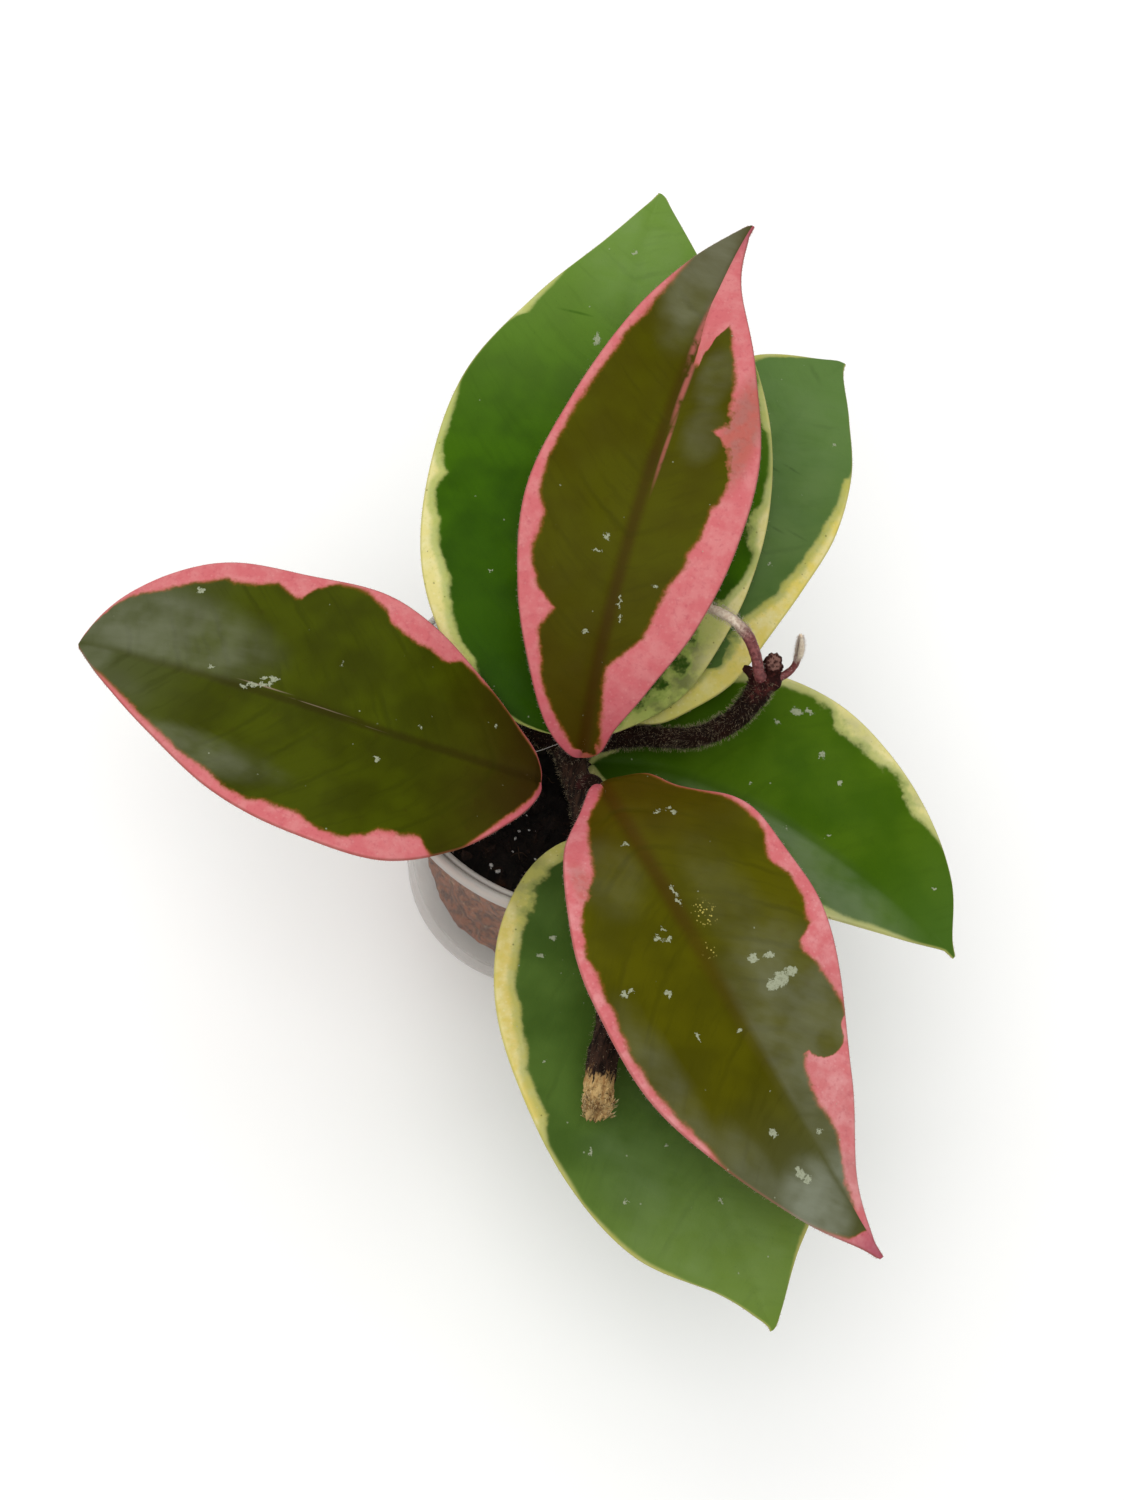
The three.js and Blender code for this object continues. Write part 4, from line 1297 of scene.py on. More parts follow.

# Colours of each kind of leaf. centre and second are mottled over the middle. base is near
# the petiole within reach: darker than the centre, partly the leaf's own tone and partly
# painted shade where the leaves crowd at the plant's middle. tip is beyond tip_from: lighter
# and greyer, partly the leaf's own tone and partly painted sheen. rib is along the midrib,
# fading out over rib_fade. seam is between centre and margin: blur is how soft their line is,
# ragged how uneven, and halo how wide and halo_shift how far inwards the seam lies. pale and
# deep mottle the margin, and rim is its own colour where it isn't pink. The sheen colour is the
# grey painted on as sheen, and below and below_rim are the underside. veins, wrinkles and
# tip_blush are the strength of the side veins, of the cross wrinkles and of the purple at the
# margin's tip.

YOUNG = {
    "young": True, "blur": 0.26, "ragged": 0.8,
    "halo": 0.6, "halo_shift": 0.0, "halo_strength": 0.42,
    "rib": tint(58, 30, 4), "rib_width": 1.6, "rib_strength": 0.55, "rib_fade": (0.5, 1.1),
    "seam": tint(150, 88, 34), "pale": tint(222, 148, 146), "deep": tint(180, 78, 90),
    "edge": tint(140, 80, 62), "veins": 0.3, "painted_sheen": tint(136, 140, 116),
    "wrinkles": 0.2, "tip_blush": 0.6,
    "below": tint(108, 92, 66), "below_rim": tint(214, 130, 134),
}
GREEN = {
    "young": False, "blur": 0.5, "ragged": 0.6,
    "halo": 1.15, "halo_shift": -0.45, "halo_strength": 0.6,
    "rib_width": 1.2, "rib_strength": 0.25, "rib_fade": (0.4, 1.0),
    "pale": tint(238, 232, 184), "deep": tint(196, 196, 106),
    "edge": tint(176, 172, 96), "painted_sheen": tint(124, 150, 96),
    "wrinkles": 0.1, "tip_blush": 0.0,
    "below": tint(112, 142, 84), "below_rim": tint(226, 222, 166),
}
LOOKS = {
    "young": {
        **YOUNG, "centre": tint(70, 67, 0), "second": tint(77, 77, 0), "base": tint(62, 44, 2),
        "tip": tint(78, 74, 40), "reach": 0.4, "tip_from": (0.7, 0.95)},
    "young_front": {
        **YOUNG, "centre": tint(70, 68, 0), "second": tint(82, 80, 0), "base": tint(70, 50, 4),
        "tip": tint(78, 80, 44), "reach": 0.3, "tip_from": (0.62, 0.85),
        "rib": tint(68, 38, 8), "rib_width": 2.0, "rib_strength": 0.5, "rib_fade": (0.25, 0.75),
        "pale": tint(232, 166, 166), "painted_sheen": tint(138, 144, 124)},
    "young_left": {
        **YOUNG, "centre": tint(55, 60, 0), "second": tint(67, 75, 0), "base": tint(52, 27, 8),
        "tip": tint(76, 82, 46), "reach": 0.32, "tip_from": (0.66, 0.95),
        "rib": tint(42, 30, 4), "rib_width": 1.1, "rib_strength": 0.5, "tip_blush": 0.1},
    "bright": {
        **GREEN, "centre": tint(46, 80, 0), "second": tint(60, 99, 0), "base": tint(34, 66, 0),
        "tip": tint(110, 144, 58), "seam": tint(146, 168, 78), "reach": 0.45,
        "tip_from": (0.4, 0.95), "rib": tint(36, 66, 0), "veins": 0.1, "rim": CREAM},
    "bluish": {
        **GREEN, "centre": tint(78, 108, 50), "second": tint(88, 116, 56),
        "base": tint(54, 82, 30), "tip": tint(94, 126, 62), "seam": tint(150, 164, 84),
        "reach": 0.35, "tip_from": (0.5, 0.95), "rib": tint(56, 84, 36), "veins": 0.25,
        "rim": tint(230, 212, 110)},
    "mid_green": {
        **GREEN, "centre": tint(60, 92, 4), "second": tint(72, 103, 10), "base": tint(38, 66, 4),
        "tip": tint(70, 102, 32), "seam": tint(160, 172, 96), "reach": 0.4,
        "tip_from": (0.7, 1.0), "rib": tint(40, 66, 10), "veins": 0.14,
        "rim": tint(226, 216, 144), "painted_sheen": tint(112, 130, 92)},
    "cool_green": {
        **GREEN, "centre": tint(64, 90, 30), "second": tint(78, 105, 40), "base": tint(54, 78, 30),
        "tip": tint(110, 136, 54), "seam": tint(156, 164, 88), "reach": 0.3,
        "tip_from": (0.55, 0.95), "rib": tint(58, 80, 30), "veins": 0.12,
        "rim": tint(216, 198, 108)},
}

KEEL_DEPTH = 0.7
KEEL_HALF_WIDTH = 2
END_HALF_WIDTH = 0.35
FOLD_ROUNDING = 3
CURL_REACH = 20
EDGE_ROUNDING = 0.45
BLADE_ROWS = 160
BLADE_COLUMNS = 44
MIDRIB_STEPS = 200
PETIOLE_RADII = [1.4, 1.2, 1.15, 1.15, 1.1, 0.8]
PETIOLE_SEATS = [(0.12, 1.1), (0.2, 0.9)]
PETIOLE_HAIRS = 420
FIRST_LEAF_SEED = 80
SKIN_LAYERS = ("margin", "edge", "across", "along", "share", "veil", "painted_sheen", "underside")
VEIN_SLANT = 0.45
VEIN_BEND = 0.022
VEIN_HALF_WIDTH = 0.6
# The midrib's groove as depth and half-width, its banks as height and distance, and the soft
# dents in a blade as depth, width and length
RIB_GROOVE = (0.26, 0.75)
RIB_BANKS = (0.10, 1.9)
BROAD_DENTS = (0.34, 8.5, 9.5)
SMALL_DENTS = (0.11, 3.1, 3.4)
# The most that the painted sheen spots add up to
MOST_PAINTED_SHEEN = 1.7
FRINGE_REACH = (0.06, 0.97)
PURPLE_TIP = tint(134, 52, 84)


def vein_place(along, across):
    """Where a side vein through a point meets the midrib, for numbers and for readings."""
    return along - abs(across) * VEIN_SLANT - across * across * VEIN_BEND


class Blade:
    """A leaf blade's surface, asked for by how far along and across it a point is."""

    def __init__(self, leaf, sizes):
        self.leaf = leaf
        self.edge = sizes.edge_thickness / MM
        self.swell = sizes.swell / MM
        self.handles = [Vector(p) for p in leaf["midrib"]]
        self.places = [0.0]
        points = [self.centre(k / MIDRIB_STEPS) for k in range(MIDRIB_STEPS + 1)]
        for a, b in zip(points, points[1:]):
            self.places.append(self.places[-1] + (b - a).length)
        self.length = self.places[-1]

    def centre(self, t):
        a, b, c, d = self.handles
        u = 1 - t
        return a * u ** 3 + b * (3 * u ** 2 * t) + c * (3 * u * t * t) + d * t ** 3

    def frame(self, along):
        """(point, forward, across, normal, share) of the midrib at a 0 to 1 share of its turn."""
        t = (1 - math.cos(math.pi * along)) / 2
        u = 1 - t
        a, b, c, d = self.handles
        forward = ((b - a) * u ** 2 + (c - b) * (2 * u * t) + (d - c) * t * t).normalized()
        across = forward.cross(UP).normalized()
        return self.centre(t), forward, across, across.cross(forward), t

    def half_width(self, side, along):
        widths = self.leaf["left"] if side < 0 else self.leaf["right"]
        return max(smooth_between([0, *widths, 0], along), END_HALF_WIDTH)

    def place(self, t):
        """The mm along the midrib."""
        return between(self.places, min(t, 1))

    def spot(self, along, side, face, frame=None):
        """(point, mm across, mm from the edge, mm along) for a face of 1 on top or -1 below."""
        centre, _, across, normal, t = frame or self.frame(along)
        width = self.half_width(side, along)
        s = side * width
        fold = math.tan(math.radians(self.leaf["fold"]))
        height, count, phase = self.leaf["wave"]
        ripple = height * math.sin(math.tau * count * t + phase)
        lift = (fold * (math.hypot(s, FOLD_ROUNDING) - FOLD_ROUNDING)
                + self.leaf["curl"][0 if side < 0 else 1] * (s / CURL_REACH) ** 2
                + ripple * side ** 2 * min(1, width / CURL_REACH * 2))
        swell = self.swell * (1 - side ** 2) * min(1, width / 4)
        keel = KEEL_DEPTH * (1 - t) * smooth_step(KEEL_HALF_WIDTH, 0, abs(s)) if face < 0 else 0
        from_edge = width - abs(s)
        place = self.place(t)
        round_off = min(from_edge / EDGE_ROUNDING, 1)
        taper = min(1, 0.35 + (self.length - place) / 4, 0.5 + place / 3)
        thick = (self.edge + swell) / 2 * taper
        thick *= max(math.sqrt(max(1 - (1 - round_off) ** 2, 0)), 0.12)
        point = centre + across * s + normal * (lift + face * thick - keel * round_off)
        point += normal * self.relief(s, place, from_edge, face)
        return point, s, from_edge, place

    def relief(self, s, place, from_edge, face):
        """Soft dents, the midrib's groove and the veins, in mm along the normal."""
        seed = self.length * 1.37
        inner = smooth_step(0, 2.5, from_edge) * smooth_step(0, 6, place)
        dents = 0.0
        for depth, wide, long in (BROAD_DENTS, SMALL_DENTS):
            dents += depth * noise.noise(Vector((s / wide, place / long, seed)))
            seed += 7
        height = dents * (0.35 + 0.65 * inner) * smooth_step(0, 9, place)
        if face > 0:
            fade = 1 - 0.75 * place / self.length
            groove, half_width = RIB_GROOVE
            height -= groove * math.exp(-(s / half_width) ** 2) * fade
            bank, distance = RIB_BANKS
            height += bank * math.exp(-(abs(s) - distance) ** 2) * fade
            pitch = self.leaf["vein_pitch"]
            line = (0.5 - abs(vein_place(place, s) / pitch % 1 - 0.5)) * pitch
            height -= self.leaf["vein_depth"] * math.exp(-(line / VEIN_HALF_WIDTH) ** 2) * inner
        return height


def spot_gain(spots, place, s, one_side=False):
    """The summed gain of soft round spots, each on its own side of the midrib if one_side."""
    total = 0.0
    for along, across, half_length, half_width, gain in spots:
        reach = math.hypot((place - along) / half_length, (s - across) / half_width)
        if one_side and across:
            gain *= smooth_step(-0.3, 0.7, math.copysign(1, across) * s)
        total += gain * smooth_step(1.4, 0.6, reach)
    return total


def blade_body(leaf, sizes):
    """The blade, and a bmesh of it with what its skin has to know at each point."""
    blade = Blade(leaf, sizes)
    made = bmesh.new()
    bmesh.ops.create_grid(made, x_segments=BLADE_COLUMNS, y_segments=BLADE_ROWS, size=1)
    face_layer = made.verts.layers.float.new("face_side")
    for vert in made.verts:
        vert[face_layer] = 1
    copied = bmesh.ops.extrude_face_region(made, geom=made.faces[:])
    for item in copied["geom"]:
        if isinstance(item, bmesh.types.BMVert):
            item[face_layer] = -1
    layers = [made.verts.layers.float.new(name) for name in SKIN_LAYERS]
    frames = {}
    for vert in made.verts:
        along = (vert.co.y + 1) / 2
        side = math.sin(math.pi / 2 * vert.co.x)
        key = round(along * BLADE_ROWS)
        if key not in frames:
            frames[key] = blade.frame(along)
        face = vert[face_layer]
        point, s, from_edge, place = blade.spot(along, side, face, frames[key])
        rim = at_place(leaf["left_rim" if side < 0 else "right_rim"], place)
        painted_sheen = spot_gain(leaf["painted_sheen"], place, s, one_side=True)
        values = (
            from_edge - rim + spot_gain(leaf["islands"], place, s), from_edge, s, place,
            place / blade.length, min(spot_gain(leaf["veils"], place, s), 1),
            min(painted_sheen, MOST_PAINTED_SHEEN), 0 if face > 0 else 1)
        for layer, value in zip(layers, values):
            vert[layer] = value
        vert.co = point
    bmesh.ops.remove_doubles(made, verts=made.verts, dist=MERGE_DISTANCE)
    bmesh.ops.recalc_face_normals(made, faces=made.faces)
    return blade, made


def petiole_line(leaf, blade):
    points = [Vector(p) for p in leaf["petiole"]]
    for along, depth in PETIOLE_SEATS:
        centre, _, _, normal, _ = blade.frame(along)
        points.append(centre - normal * depth)
    return points


def nearest_spot(finish, flat, spots):
    """The least reach among flat spots: 0 at a spot's middle and 1 at its outline."""
    least = None
    for along, across, half_length, half_width in spots:
        local = finish.vector_maths(
            "MULTIPLY_ADD", flat, (1 / half_width, 1 / half_length, 0),
            (-across / half_width, -along / half_length, 0))
        reach = finish.vector_maths("LENGTH", local)
        least = reach if least is None else least.least(reach)
    return least


def leaf_skin(name, leaf, sizes):
    """The waxy skin of a blade: its centre, margin, painted sheen, underside and marks."""
    colours = LOOKS[leaf["looks"]]
    young = colours["young"]
    finish = Finish(name + "_skin")
    place = finish.place()
    margin, edge, across, along, share, veil, painted_sheen, underside = [
        finish.attribute(layer) for layer in SKIN_LAYERS]
    under = underside.rise(0.35, 0.65)

    broad = finish.noise(place, detail=2, scale=0.13)
    blotch = finish.noise(place, detail=3, roughness=0.55, scale=0.42)
    fine = finish.noise(place, detail=3, roughness=0.6, scale=1.5)
    dots = finish.cells(place, 1.15)
    wobble = ((blotch - 0.5) * 1.5 + (fine - 0.5) * 0.8) * colours["ragged"]
    field = margin + wobble * edge.rise(0.2, 1.6) + (blotch - 0.5) * veil * 9
    centre_part = (field / (1 + veil * 2.5)).rise(-colours["blur"], colours["blur"])
    rim_part = centre_part.fall(0.3, 0.7)

    # The green or olive centre, its midrib, its side veins and its fine cross wrinkles
    near_rib = (abs(across) + (fine - 0.5) * 0.5).fall(0.15, colours["rib_width"])
    slant = vein_place(along, across) + (blotch - 0.5) * 1.4
    pitch = leaf["vein_pitch"]
    vein_line = (0.5 - abs((slant / pitch).fraction() - 0.5)) * pitch
    veins = vein_line.fall(0.1, 0.8) * broad.rise(0.4, 0.65) * edge.rise(1.5, 5)
    crosswise = finish.node(
        "ShaderNodeCombineXYZ", None, {"X": across * 0.16, "Y": slant * 0.85})
    wrinkles = finish.noise(crosswise, detail=2)
    dark = dimmed(colours["centre"], 0.6)
    rib_share = near_rib * share.fall(*colours["rib_fade"]) * colours["rib_strength"]
    centre = finish.layered(
        colours["centre"],
        (broad.rise(0.32, 0.68), colours["second"]),
        (blotch.rise(0.6, 0.85) * 0.25, colours["base"]),
        # Beyond tip_from it turns lighter and greyer: partly the leaf's own tone, partly painted
        # sheen.
        (share.rise(*colours["tip_from"]) * 0.9, colours["tip"]),
        # Near the petiole it turns darker: partly the leaf's own tone, partly painted shade where
        # leaves crowd.
        (share.fall(0.0, colours["reach"]) * 0.75, colours["base"]),
        (rib_share, colours["rib"]),
        (veins * colours["veins"], dark),
        (fine.rise(0.62, 0.8) * 0.18, dark),
        (wrinkles.rise(0.5, 0.75) * colours["wrinkles"], dark))

    # The pink or cream margin, where the two colours mix, and the edge
    if young:
        main = tuple(sizes.pink)
    else:
        shades = zip(colours["rim"], sizes.cream, CREAM)
        main = tuple(own * cream / usual for own, cream, usual in shades)
    rim = finish.layered(
        main,
        (blotch.rise(0.35, 0.7) * 0.5, colours["pale"]),
        (fine.rise(0.5, 0.78) * 0.45, colours["deep"]),
        # Near the petiole the margin deepens: partly its own tone, partly painted shade where
        # leaves crowd.
        (share.fall(0.0, 0.24) * 0.7, colours["deep"]),
        (dots.fall(0.05, 0.3) * 0.3, colours["pale"]),
        (share.rise(0.9, 1.0) * colours["tip_blush"], PURPLE_TIP),
        (veil * 0.8, finish.mix(blotch.rise(0.36, 0.64), colours["seam"], centre)))
    seam = abs(field - colours["halo_shift"]).fall(0.05, colours["halo"])
    top = finish.layered(
        rim,
        (centre_part, centre),
        (seam * colours["halo_strength"], colours["seam"]),
        (edge.fall(0.05, 0.35) * 0.55, colours["edge"]))
    if not young:
        freckles = finish.cells(place, 0.62).fall(0.06, 0.12) * rim_part
        top = finish.mix(freckles * fine.rise(0.42, 0.5) * 0.6, top, tint(84, 78, 34))

    # Painted grey sheen in streaks at the sheen spots, where the coat is glossier too, and the
    # underside
    sheen_streaks = finish.noise(finish.place(6.0, 1.6, 3.0), detail=4, roughness=0.6, scale=0.6)
    patches = finish.noise(place, detail=2, scale=0.2).rise(0.3, 0.62)
    painted_sheen_share = (painted_sheen * (0.25 + sheen_streaks.rise(0.25, 0.75) * 0.4 + patches * 0.5)).least(1.6)
    # Painted sheen: grey mixed into the colour at the sheen spots
    top = finish.mix(painted_sheen_share * centre_part.most(0.35) * 0.42, top, colours["painted_sheen"])
    below = finish.layered(
        colours["below_rim"],
        (centre_part, colours["below"]),
        (veins * 0.3 + near_rib * 0.4, tint(158, 168, 118)),
        (fine.rise(0.5, 0.8) * 0.25, dimmed(colours["below"], 0.8)))
    skin = finish.mix(under, top, below)

    # Placed streaks, of which some are creases painted darker as painted shade, dried water marks,
    # specks and yellow dots
    shift = finish.node(
        "ShaderNodeTexNoise", None,
        {"Vector": place, "Scale": 1.4, "Detail": 3.0, "Roughness": 0.7}, output="Color")
    steady = finish.node("ShaderNodeCombineXYZ", None, {"X": across, "Y": along})
    flat = finish.vector_maths("MULTIPLY_ADD", shift, (2.0, 2.0, 0), steady)
    flat = finish.vector_maths("SUBTRACT", flat, (1.0, 1.0, 0))
    if "streaks" in leaf:
        line = nearest_spot(finish, steady, leaf["streaks"]).fall(0.2, 1.0) * (1 - under)
        line = line * blotch.rise(0.3, 0.5) * share.rise(0.25, 0.65)
        skin = finish.mix(line * 0.75, skin, leaf["line_and_crease_shade_tint"])
    grit = finish.noise(place, detail=3, roughness=0.65, scale=4.0)
    crust = nearest_spot(finish, flat, leaf["marks"]).fall(0.8, 1.0)
    crust = crust * (0.6 + 0.4 * grit.rise(0.36, 0.5))
    specks = finish.cells(place, 0.36).fall(0.035, 0.065) * fine.rise(0.5, 0.56)
    crust = (crust + specks * 0.7).least(1) * (1 - under)
    skin = finish.mix(crust * 0.75, skin, tint(176, 182, 156))
    if "dots" in leaf:
        pits = finish.cells(place, 2.3).fall(0.24, 0.36)
        near = nearest_spot(finish, flat, leaf["dots"]).fall(0.5, 1.1) * (1 - under)
        skin = finish.mix(near * pits * grit.rise(0.3, 0.5) * 0.85, skin, tint(196, 180, 92))

    height = (blotch * 0.10 + fine * 0.03 + grit * 0.006 - veins * 0.04 + crust * 0.04
              + dots * rim_part * 0.04)
    return finish.surface(
        Base_Color=skin,
        Roughness=0.4 + broad * 0.1 + fine * 0.06 + crust * 0.3 + under * 0.15,
        Specular_IOR_Level=0.02,
        Coat_Weight=(0.03 + painted_sheen_share.least(1) * 0.7) * (1 - crust) * (1 - under),
        Coat_Roughness=0.32,
        Normal=finish.bump(height, 0.9))


def edge_spots(blade, per_mm, draw):
    """Spots on a blade's edge, from base to tip, for a fringe of fine hairs."""
    spots = []
    for side in (-1, 1):
        for _ in range(int(blade.length * per_mm)):
            along = draw.uniform(*FRINGE_REACH)
            point, _, _, _ = blade.spot(along, side, draw.choice((-1, 1)))
            _, _, across, normal, _ = blade.frame(along)
            outward = across * side + normal * draw.uniform(-0.5, 0.4)
            spots.append((point, outward.normalized()))
    return spots


# Operators

class WAXPLANT_OT_pot(bpy.types.Operator):
    """Add the frosted nursery pot with its grooved rim and drain holes"""
    bl_idname = "waxplant.pot"
    bl_label = "Nursery Pot"

    def execute(self, context):
        sizes = context.scene.waxplant_pot
        finished_piece(pot_body(sizes), "nursery_pot", frosted_plastic(sizes), ["pot"])
        return {"FINISHED"}


class WAXPLANT_OT_soil(bpy.types.Operator):
    """Add the damp potting mix with its crumbs, bark chips, fibres and pale grains"""
    bl_idname = "waxplant.soil"
    bl_label = "Potting Mix"

    def execute(self, context):
        sizes = context.scene.waxplant_soil
        top = sizes.top / MM
        colour = tuple(sizes.mix)
        mix = damp_mix("damp_mix", colour, tint(44, 32, 26), side=tint(152, 82, 42))
        finished_piece(soil_body(top), "potting_mix", mix, ["soil"])
        draw = random.Random(SEEDS["crumbs"])
        places = free_places(sizes.crumbs, draw, top, low=0.22, high=0.95, sink=0.3)
        crumbs = damp_mix("damp_crumbs", tint(24, 17, 13), tint(62, 42, 31))
        finished_piece(scattered_lumps(places, draw), "soil_crumbs", crumbs, smooth=False)
        bark = damp_mix("bark", tint(42, 25, 17), tint(84, 54, 36), size=0.8)
        chips = bark_chips(sizes.chips, random.Random(SEEDS["chips"]), top)
        finished_piece(chips, "bark_chips", bark, smooth=False)
        straw = damp_mix("fibre", tint(70, 52, 38), tint(112, 90, 68), size=0.6)
        fibres = fibre_bits(FIBRES, random.Random(SEEDS["fibres"]), top)
        finished_piece(fibres, "soil_fibres", straw)
        draw = random.Random(SEEDS["grains"])
        places = free_places(sizes.grains, draw, top, low=0.16, high=0.62, sink=0.45)
        for (x, y), radius in PLACED_GRAINS:
            places.append((x, y, soil_height(x, y, top) + radius * GRAIN_RISE, radius))
        pale = damp_mix("pale_grains", tint(222, 220, 216), tint(246, 245, 242), size=0.5)
        finished_piece(scattered_lumps(places, draw, rough=0.2), "pale_grains", pale)
        return {"FINISHED"}


class WAXPLANT_OT_stems(bpy.types.Operator):
    """Add the rooted stem, the cut old stem and the hairy side shoot"""
    bl_idname = "waxplant.stems"
    bl_label = "Stems"

    def execute(self, context):
        sizes = context.scene.waxplant_stem
        bark = tuple(sizes.bark)
        skin = stem_finish("stem_skin", bark, tint(50, 20, 14), tint(52, 36, 26))
        finished_piece(rooted_stem_body(), "main_stem", skin, ["rooted_stem"])
        old_skin = old_stem_finish(sizes)
        finished_piece(old_stem_body(), "cut_stem", old_skin, ["old_stem"])
        node_skin = stem_finish(
            "node_skin", bark, tint(46, 20, 12), tint(50, 35, 24), node_from=70.5)
        finished_piece(side_shoot_body(), "side_shoot_skin", node_skin, ["side_shoot"])

        fur = hair_finish("stem_hair", tint(34, 19, 12), tint(214, 196, 158))
        length = sizes.hair_length / MM
        thickness = sizes.hair_thickness / MM / 2
        for seed, row in enumerate(STEM_HAIRS, start=FIRST_HAIR_SEED):
            name, stem, count, start, end, scale = row
            draw = random.Random(seed)
            spots = spots_on_rod(stem, count, draw, start, end)
            finished_piece(
                hairs(spots, draw, length * scale, thickness * scale), name, fur)
        straw = hair_finish("straw_fibre", tint(168, 136, 88), tint(214, 192, 146))
        finished_piece(frayed_fibres(), "frayed_end", straw)
        thread = hair_finish("fine_thread", tint(206, 200, 196), tint(228, 224, 220))
        finished_piece(rod(THREAD, sides=6, pitch=0.3), "fine_thread", thread)
        return {"FINISHED"}


class WAXPLANT_OT_young_leaves(bpy.types.Operator):
    """Add the two young folded leaves at the end of the side shoot"""
    bl_idname = "waxplant.young_leaves"
    bl_label = "Young Leaves"

    def execute(self, context):
        sizes = context.scene.waxplant_stem
        length = sizes.hair_length / MM * 0.48
        skin = young_leaf_finish()
        fur = hair_finish("silver_hair", tint(206, 190, 178), tint(240, 234, 226))
        for name, leaf, count, seed in YOUNG_LEAVES:
            finished_piece(young_leaf_body(leaf), name + "_skin", skin, [name])
            draw = random.Random(seed)
            spots = spots_on_rod(leaf, count, draw, start=0.45, end=0.99)
            spots += spots_on_rod(leaf, count // 8, draw, start=0.05, end=0.5)
            down = hairs(spots, draw, length, thickness=0.022, droop=0.0, lean=0.6)
            finished_piece(down, name + "_hairs", fur)
        return {"FINISHED"}


def add_leaves(context, names, slot_name, per_mm):
    """Adds each leaf's blade, stalk, stalk hairs and fringe of per_mm hairs along its edge."""
    sizes = context.scene.waxplant_leaf
    bark = tuple(context.scene.waxplant_stem.bark)
    stalk = stem_finish(slot_name + "_stalk", bark, tint(62, 27, 25), tint(84, 60, 50))
    down = hair_finish(slot_name + "_stalk_hair", tint(48, 30, 24), tint(190, 170, 142))
    fur = hair_finish(slot_name + "_fringe", tint(190, 150, 140), tint(232, 214, 202))
    for seed, name in enumerate(names, start=FIRST_LEAF_SEED):
        leaf = LEAVES[name]
        blade, body = blade_body(leaf, sizes)
        finished_piece(body, name + "_blade", leaf_skin(name, leaf, sizes), [name])
        petiole = {"line": petiole_line(leaf, blade), "radii": PETIOLE_RADII}
        stem_body = rod(petiole, sides=22, pitch=0.3)
        roughened(stem_body, height=0.16, size=1.1, seed=2.7)
        finished_piece(stem_body, name + "_stalk", stalk)
        draw = random.Random(seed)
        spots = spots_on_rod(petiole, PETIOLE_HAIRS, draw, end=0.9)
        stalk_hairs = hairs(spots, draw, length=0.55, thickness=0.03)
        finished_piece(stalk_hairs, name + "_stalk_hairs", down)
        spots = edge_spots(blade, per_mm, draw)
        fringe = hairs(spots, draw, length=0.34, thickness=0.02, droop=0.1, lean=0.3)
        finished_piece(fringe, name + "_fringe", fur)


class WAXPLANT_OT_pink_edged_leaves(bpy.types.Operator):
    """Add the three olive leaves with pink margins"""
    bl_idname = "waxplant.pink_edged_leaves"
    bl_label = "Pink-edged Leaves"

    def execute(self, context):
        names = ("leaf_top", "leaf_front", "leaf_left")
        add_leaves(context, names, "pink_edged_leaf", per_mm=4.0)
        return {"FINISHED"}


class WAXPLANT_OT_cream_edged_leaves(bpy.types.Operator):
    """Add the four green leaves with cream margins"""
    bl_idname = "waxplant.cream_edged_leaves"
    bl_label = "Cream-edged Leaves"

    def execute(self, context):
        names = ("leaf_back_left", "leaf_back_right", "leaf_right", "leaf_bottom")
        add_leaves(context, names, "cream_edged_leaf", per_mm=1.6)
        return {"FINISHED"}


# Stage

CAMERA_AIM = Vector((-1.6, -3.0, 50.0))
CAMERA_DISTANCE = 365.0
CAMERA_ELEVATION = 62.0
CAMERA_ROLL = 17.5
LENS = 57.6
FRAME_SIZE = 36.0
FLOOR_DROP = 0.0002
ROOM_LIGHT = 0.66
LIGHT_AIM = Vector((0, 0, 0.05))
LIGHT_SIZE = 1.1
LIGHTS = [
    ("window", (-0.55, 0.5, 0.95), 3.9, (1.0, 0.985, 0.96)),
    ("softbox", (-0.1, -0.45, 1.1), 6.3, (1.0, 0.99, 0.98)),
]


def placed_camera():
    elevation = math.radians(CAMERA_ELEVATION)
    roll = math.radians(CAMERA_ROLL)
    back = Vector((0, -math.cos(elevation), math.sin(elevation)))
    right = Vector((1, 0, 0))
    up = back.cross(right)
    side = right * math.cos(roll) + up * math.sin(roll)
    over = up * math.cos(roll) - right * math.sin(roll)
    place = (CAMERA_AIM + back * CAMERA_DISTANCE) * MM
    turn = Matrix((side, over, back)).transposed().to_4x4()
    return Matrix.Translation(place) @ turn


def add_light(name, place, power, colour):
    data = bpy.data.lights.new(name, "AREA")
    data.shape = "DISK"
    data.size = LIGHT_SIZE
    data.energy = power
    data.color = colour
    light = bpy.data.objects.new(name, data)
    light.location = place
    light.rotation_euler = (LIGHT_AIM - Vector(place)).to_track_quat("-Z", "Y").to_euler()
    bpy.context.scene.collection.objects.link(light)


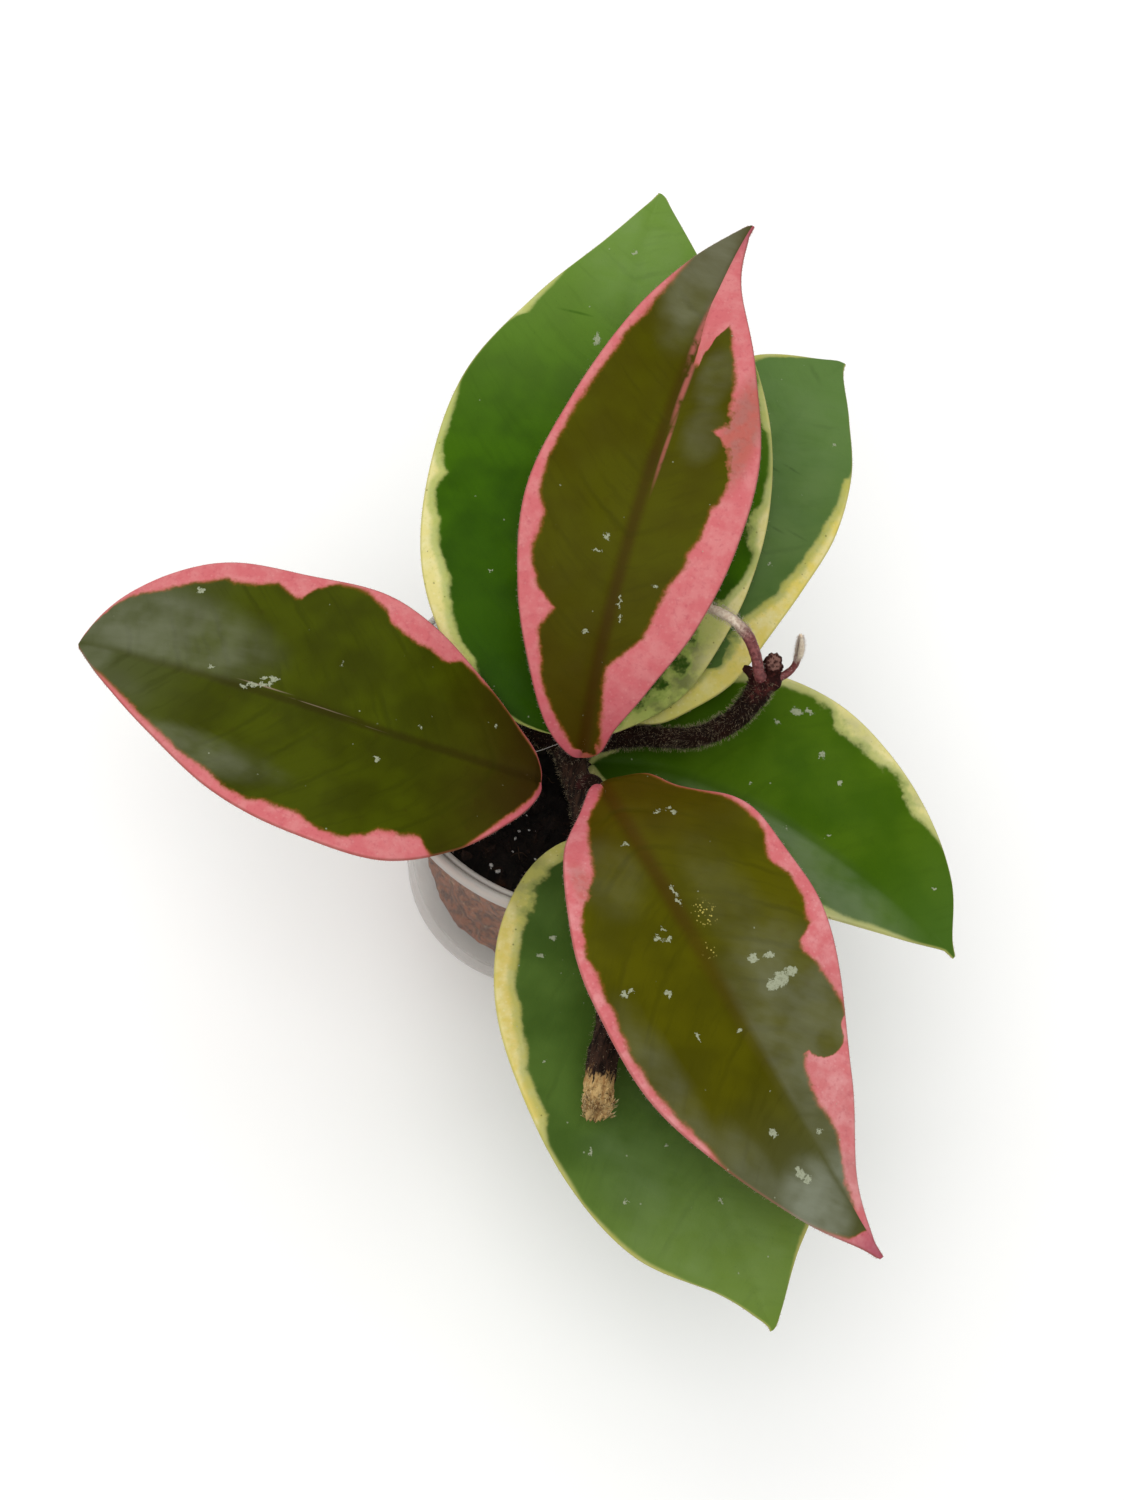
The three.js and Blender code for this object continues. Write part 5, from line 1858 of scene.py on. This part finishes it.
class WAXPLANT_OT_stage(bpy.types.Operator):
    """Add the pale floor, the soft lights and the camera"""
    bl_idname = "waxplant.stage"
    bl_label = "Stage"

    def execute(self, context):
        sizes = context.scene.waxplant_stage
        made = bmesh.new()
        bmesh.ops.create_circle(made, cap_ends=True, segments=96, radius=sizes.floor_radius)
        mesh = bpy.data.meshes.new("floor")
        made.to_mesh(mesh)
        made.free()
        finish = Finish("floor_paper")
        grain = finish.noise(finish.place(), detail=4, scale=0.4)
        colour = tuple(sizes.floor_colour)
        mesh.materials.append(finish.surface(
            Base_Color=finish.mix(grain * 0.5, colour, dimmed(colour, 0.985)),
            Roughness=0.9, Specular_IOR_Level=0.1))
        floor = bpy.data.objects.new("floor", mesh)
        floor.location.z = -FLOOR_DROP
        context.scene.collection.objects.link(floor)

        camera_data = bpy.data.cameras.new("camera")
        camera_data.sensor_fit = "VERTICAL"
        camera_data.sensor_height = FRAME_SIZE
        camera_data.lens = LENS
        camera_data.clip_end = 20
        camera = bpy.data.objects.new("camera", camera_data)
        camera.matrix_world = placed_camera()
        context.scene.collection.objects.link(camera)
        context.scene.camera = camera

        world = bpy.data.worlds.new("soft_room")
        world.use_nodes = True
        background = next(n for n in world.node_tree.nodes if n.type == "BACKGROUND")
        background.inputs["Color"].default_value = (1.0, 1.0, 1.0, 1)
        background.inputs["Strength"].default_value = ROOM_LIGHT
        context.scene.world = world
        context.scene.view_settings.view_transform = "Standard"
        for light in LIGHTS:
            add_light(*light)
        return {"FINISHED"}


class WAXPLANT_PT_panel(bpy.types.Panel):
    """Lists the plant's pieces and their sizes"""
    bl_idname = "WAXPLANT_PT_panel"
    bl_label = "Wax Plant"
    bl_space_type = "VIEW_3D"
    bl_region_type = "UI"
    bl_category = "Wax Plant"

    def draw(self, context):
        for operator in PIECES:
            self.layout.operator(operator.bl_idname)
        for name, group in SIZES.items():
            box = self.layout.box()
            for prop in group.__annotations__:
                box.prop(getattr(context.scene, name), prop)


SIZES = {
    "waxplant_pot": PotSizes,
    "waxplant_soil": SoilSizes,
    "waxplant_stem": StemSizes,
    "waxplant_leaf": LeafSizes,
    "waxplant_stage": StageSizes,
}
PIECES = (
    WAXPLANT_OT_stage,
    WAXPLANT_OT_pot,
    WAXPLANT_OT_soil,
    WAXPLANT_OT_stems,
    WAXPLANT_OT_young_leaves,
    WAXPLANT_OT_pink_edged_leaves,
    WAXPLANT_OT_cream_edged_leaves,
)


def register():
    for name, group in SIZES.items():
        bpy.utils.register_class(group)
        setattr(bpy.types.Scene, name, PointerProperty(type=group))
    for operator in PIECES:
        bpy.utils.register_class(operator)
    bpy.utils.register_class(WAXPLANT_PT_panel)


def unregister():
    bpy.utils.unregister_class(WAXPLANT_PT_panel)
    for operator in reversed(PIECES):
        bpy.utils.unregister_class(operator)
    for name, group in SIZES.items():
        delattr(bpy.types.Scene, name)
        bpy.utils.unregister_class(group)


def main():
    register()
    bpy.ops.waxplant.stage()
    bpy.ops.waxplant.pot()
    bpy.ops.waxplant.soil()
    bpy.ops.waxplant.stems()
    bpy.ops.waxplant.young_leaves()
    bpy.ops.waxplant.pink_edged_leaves()
    bpy.ops.waxplant.cream_edged_leaves()
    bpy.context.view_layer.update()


if __name__ == "__main__":
    main()
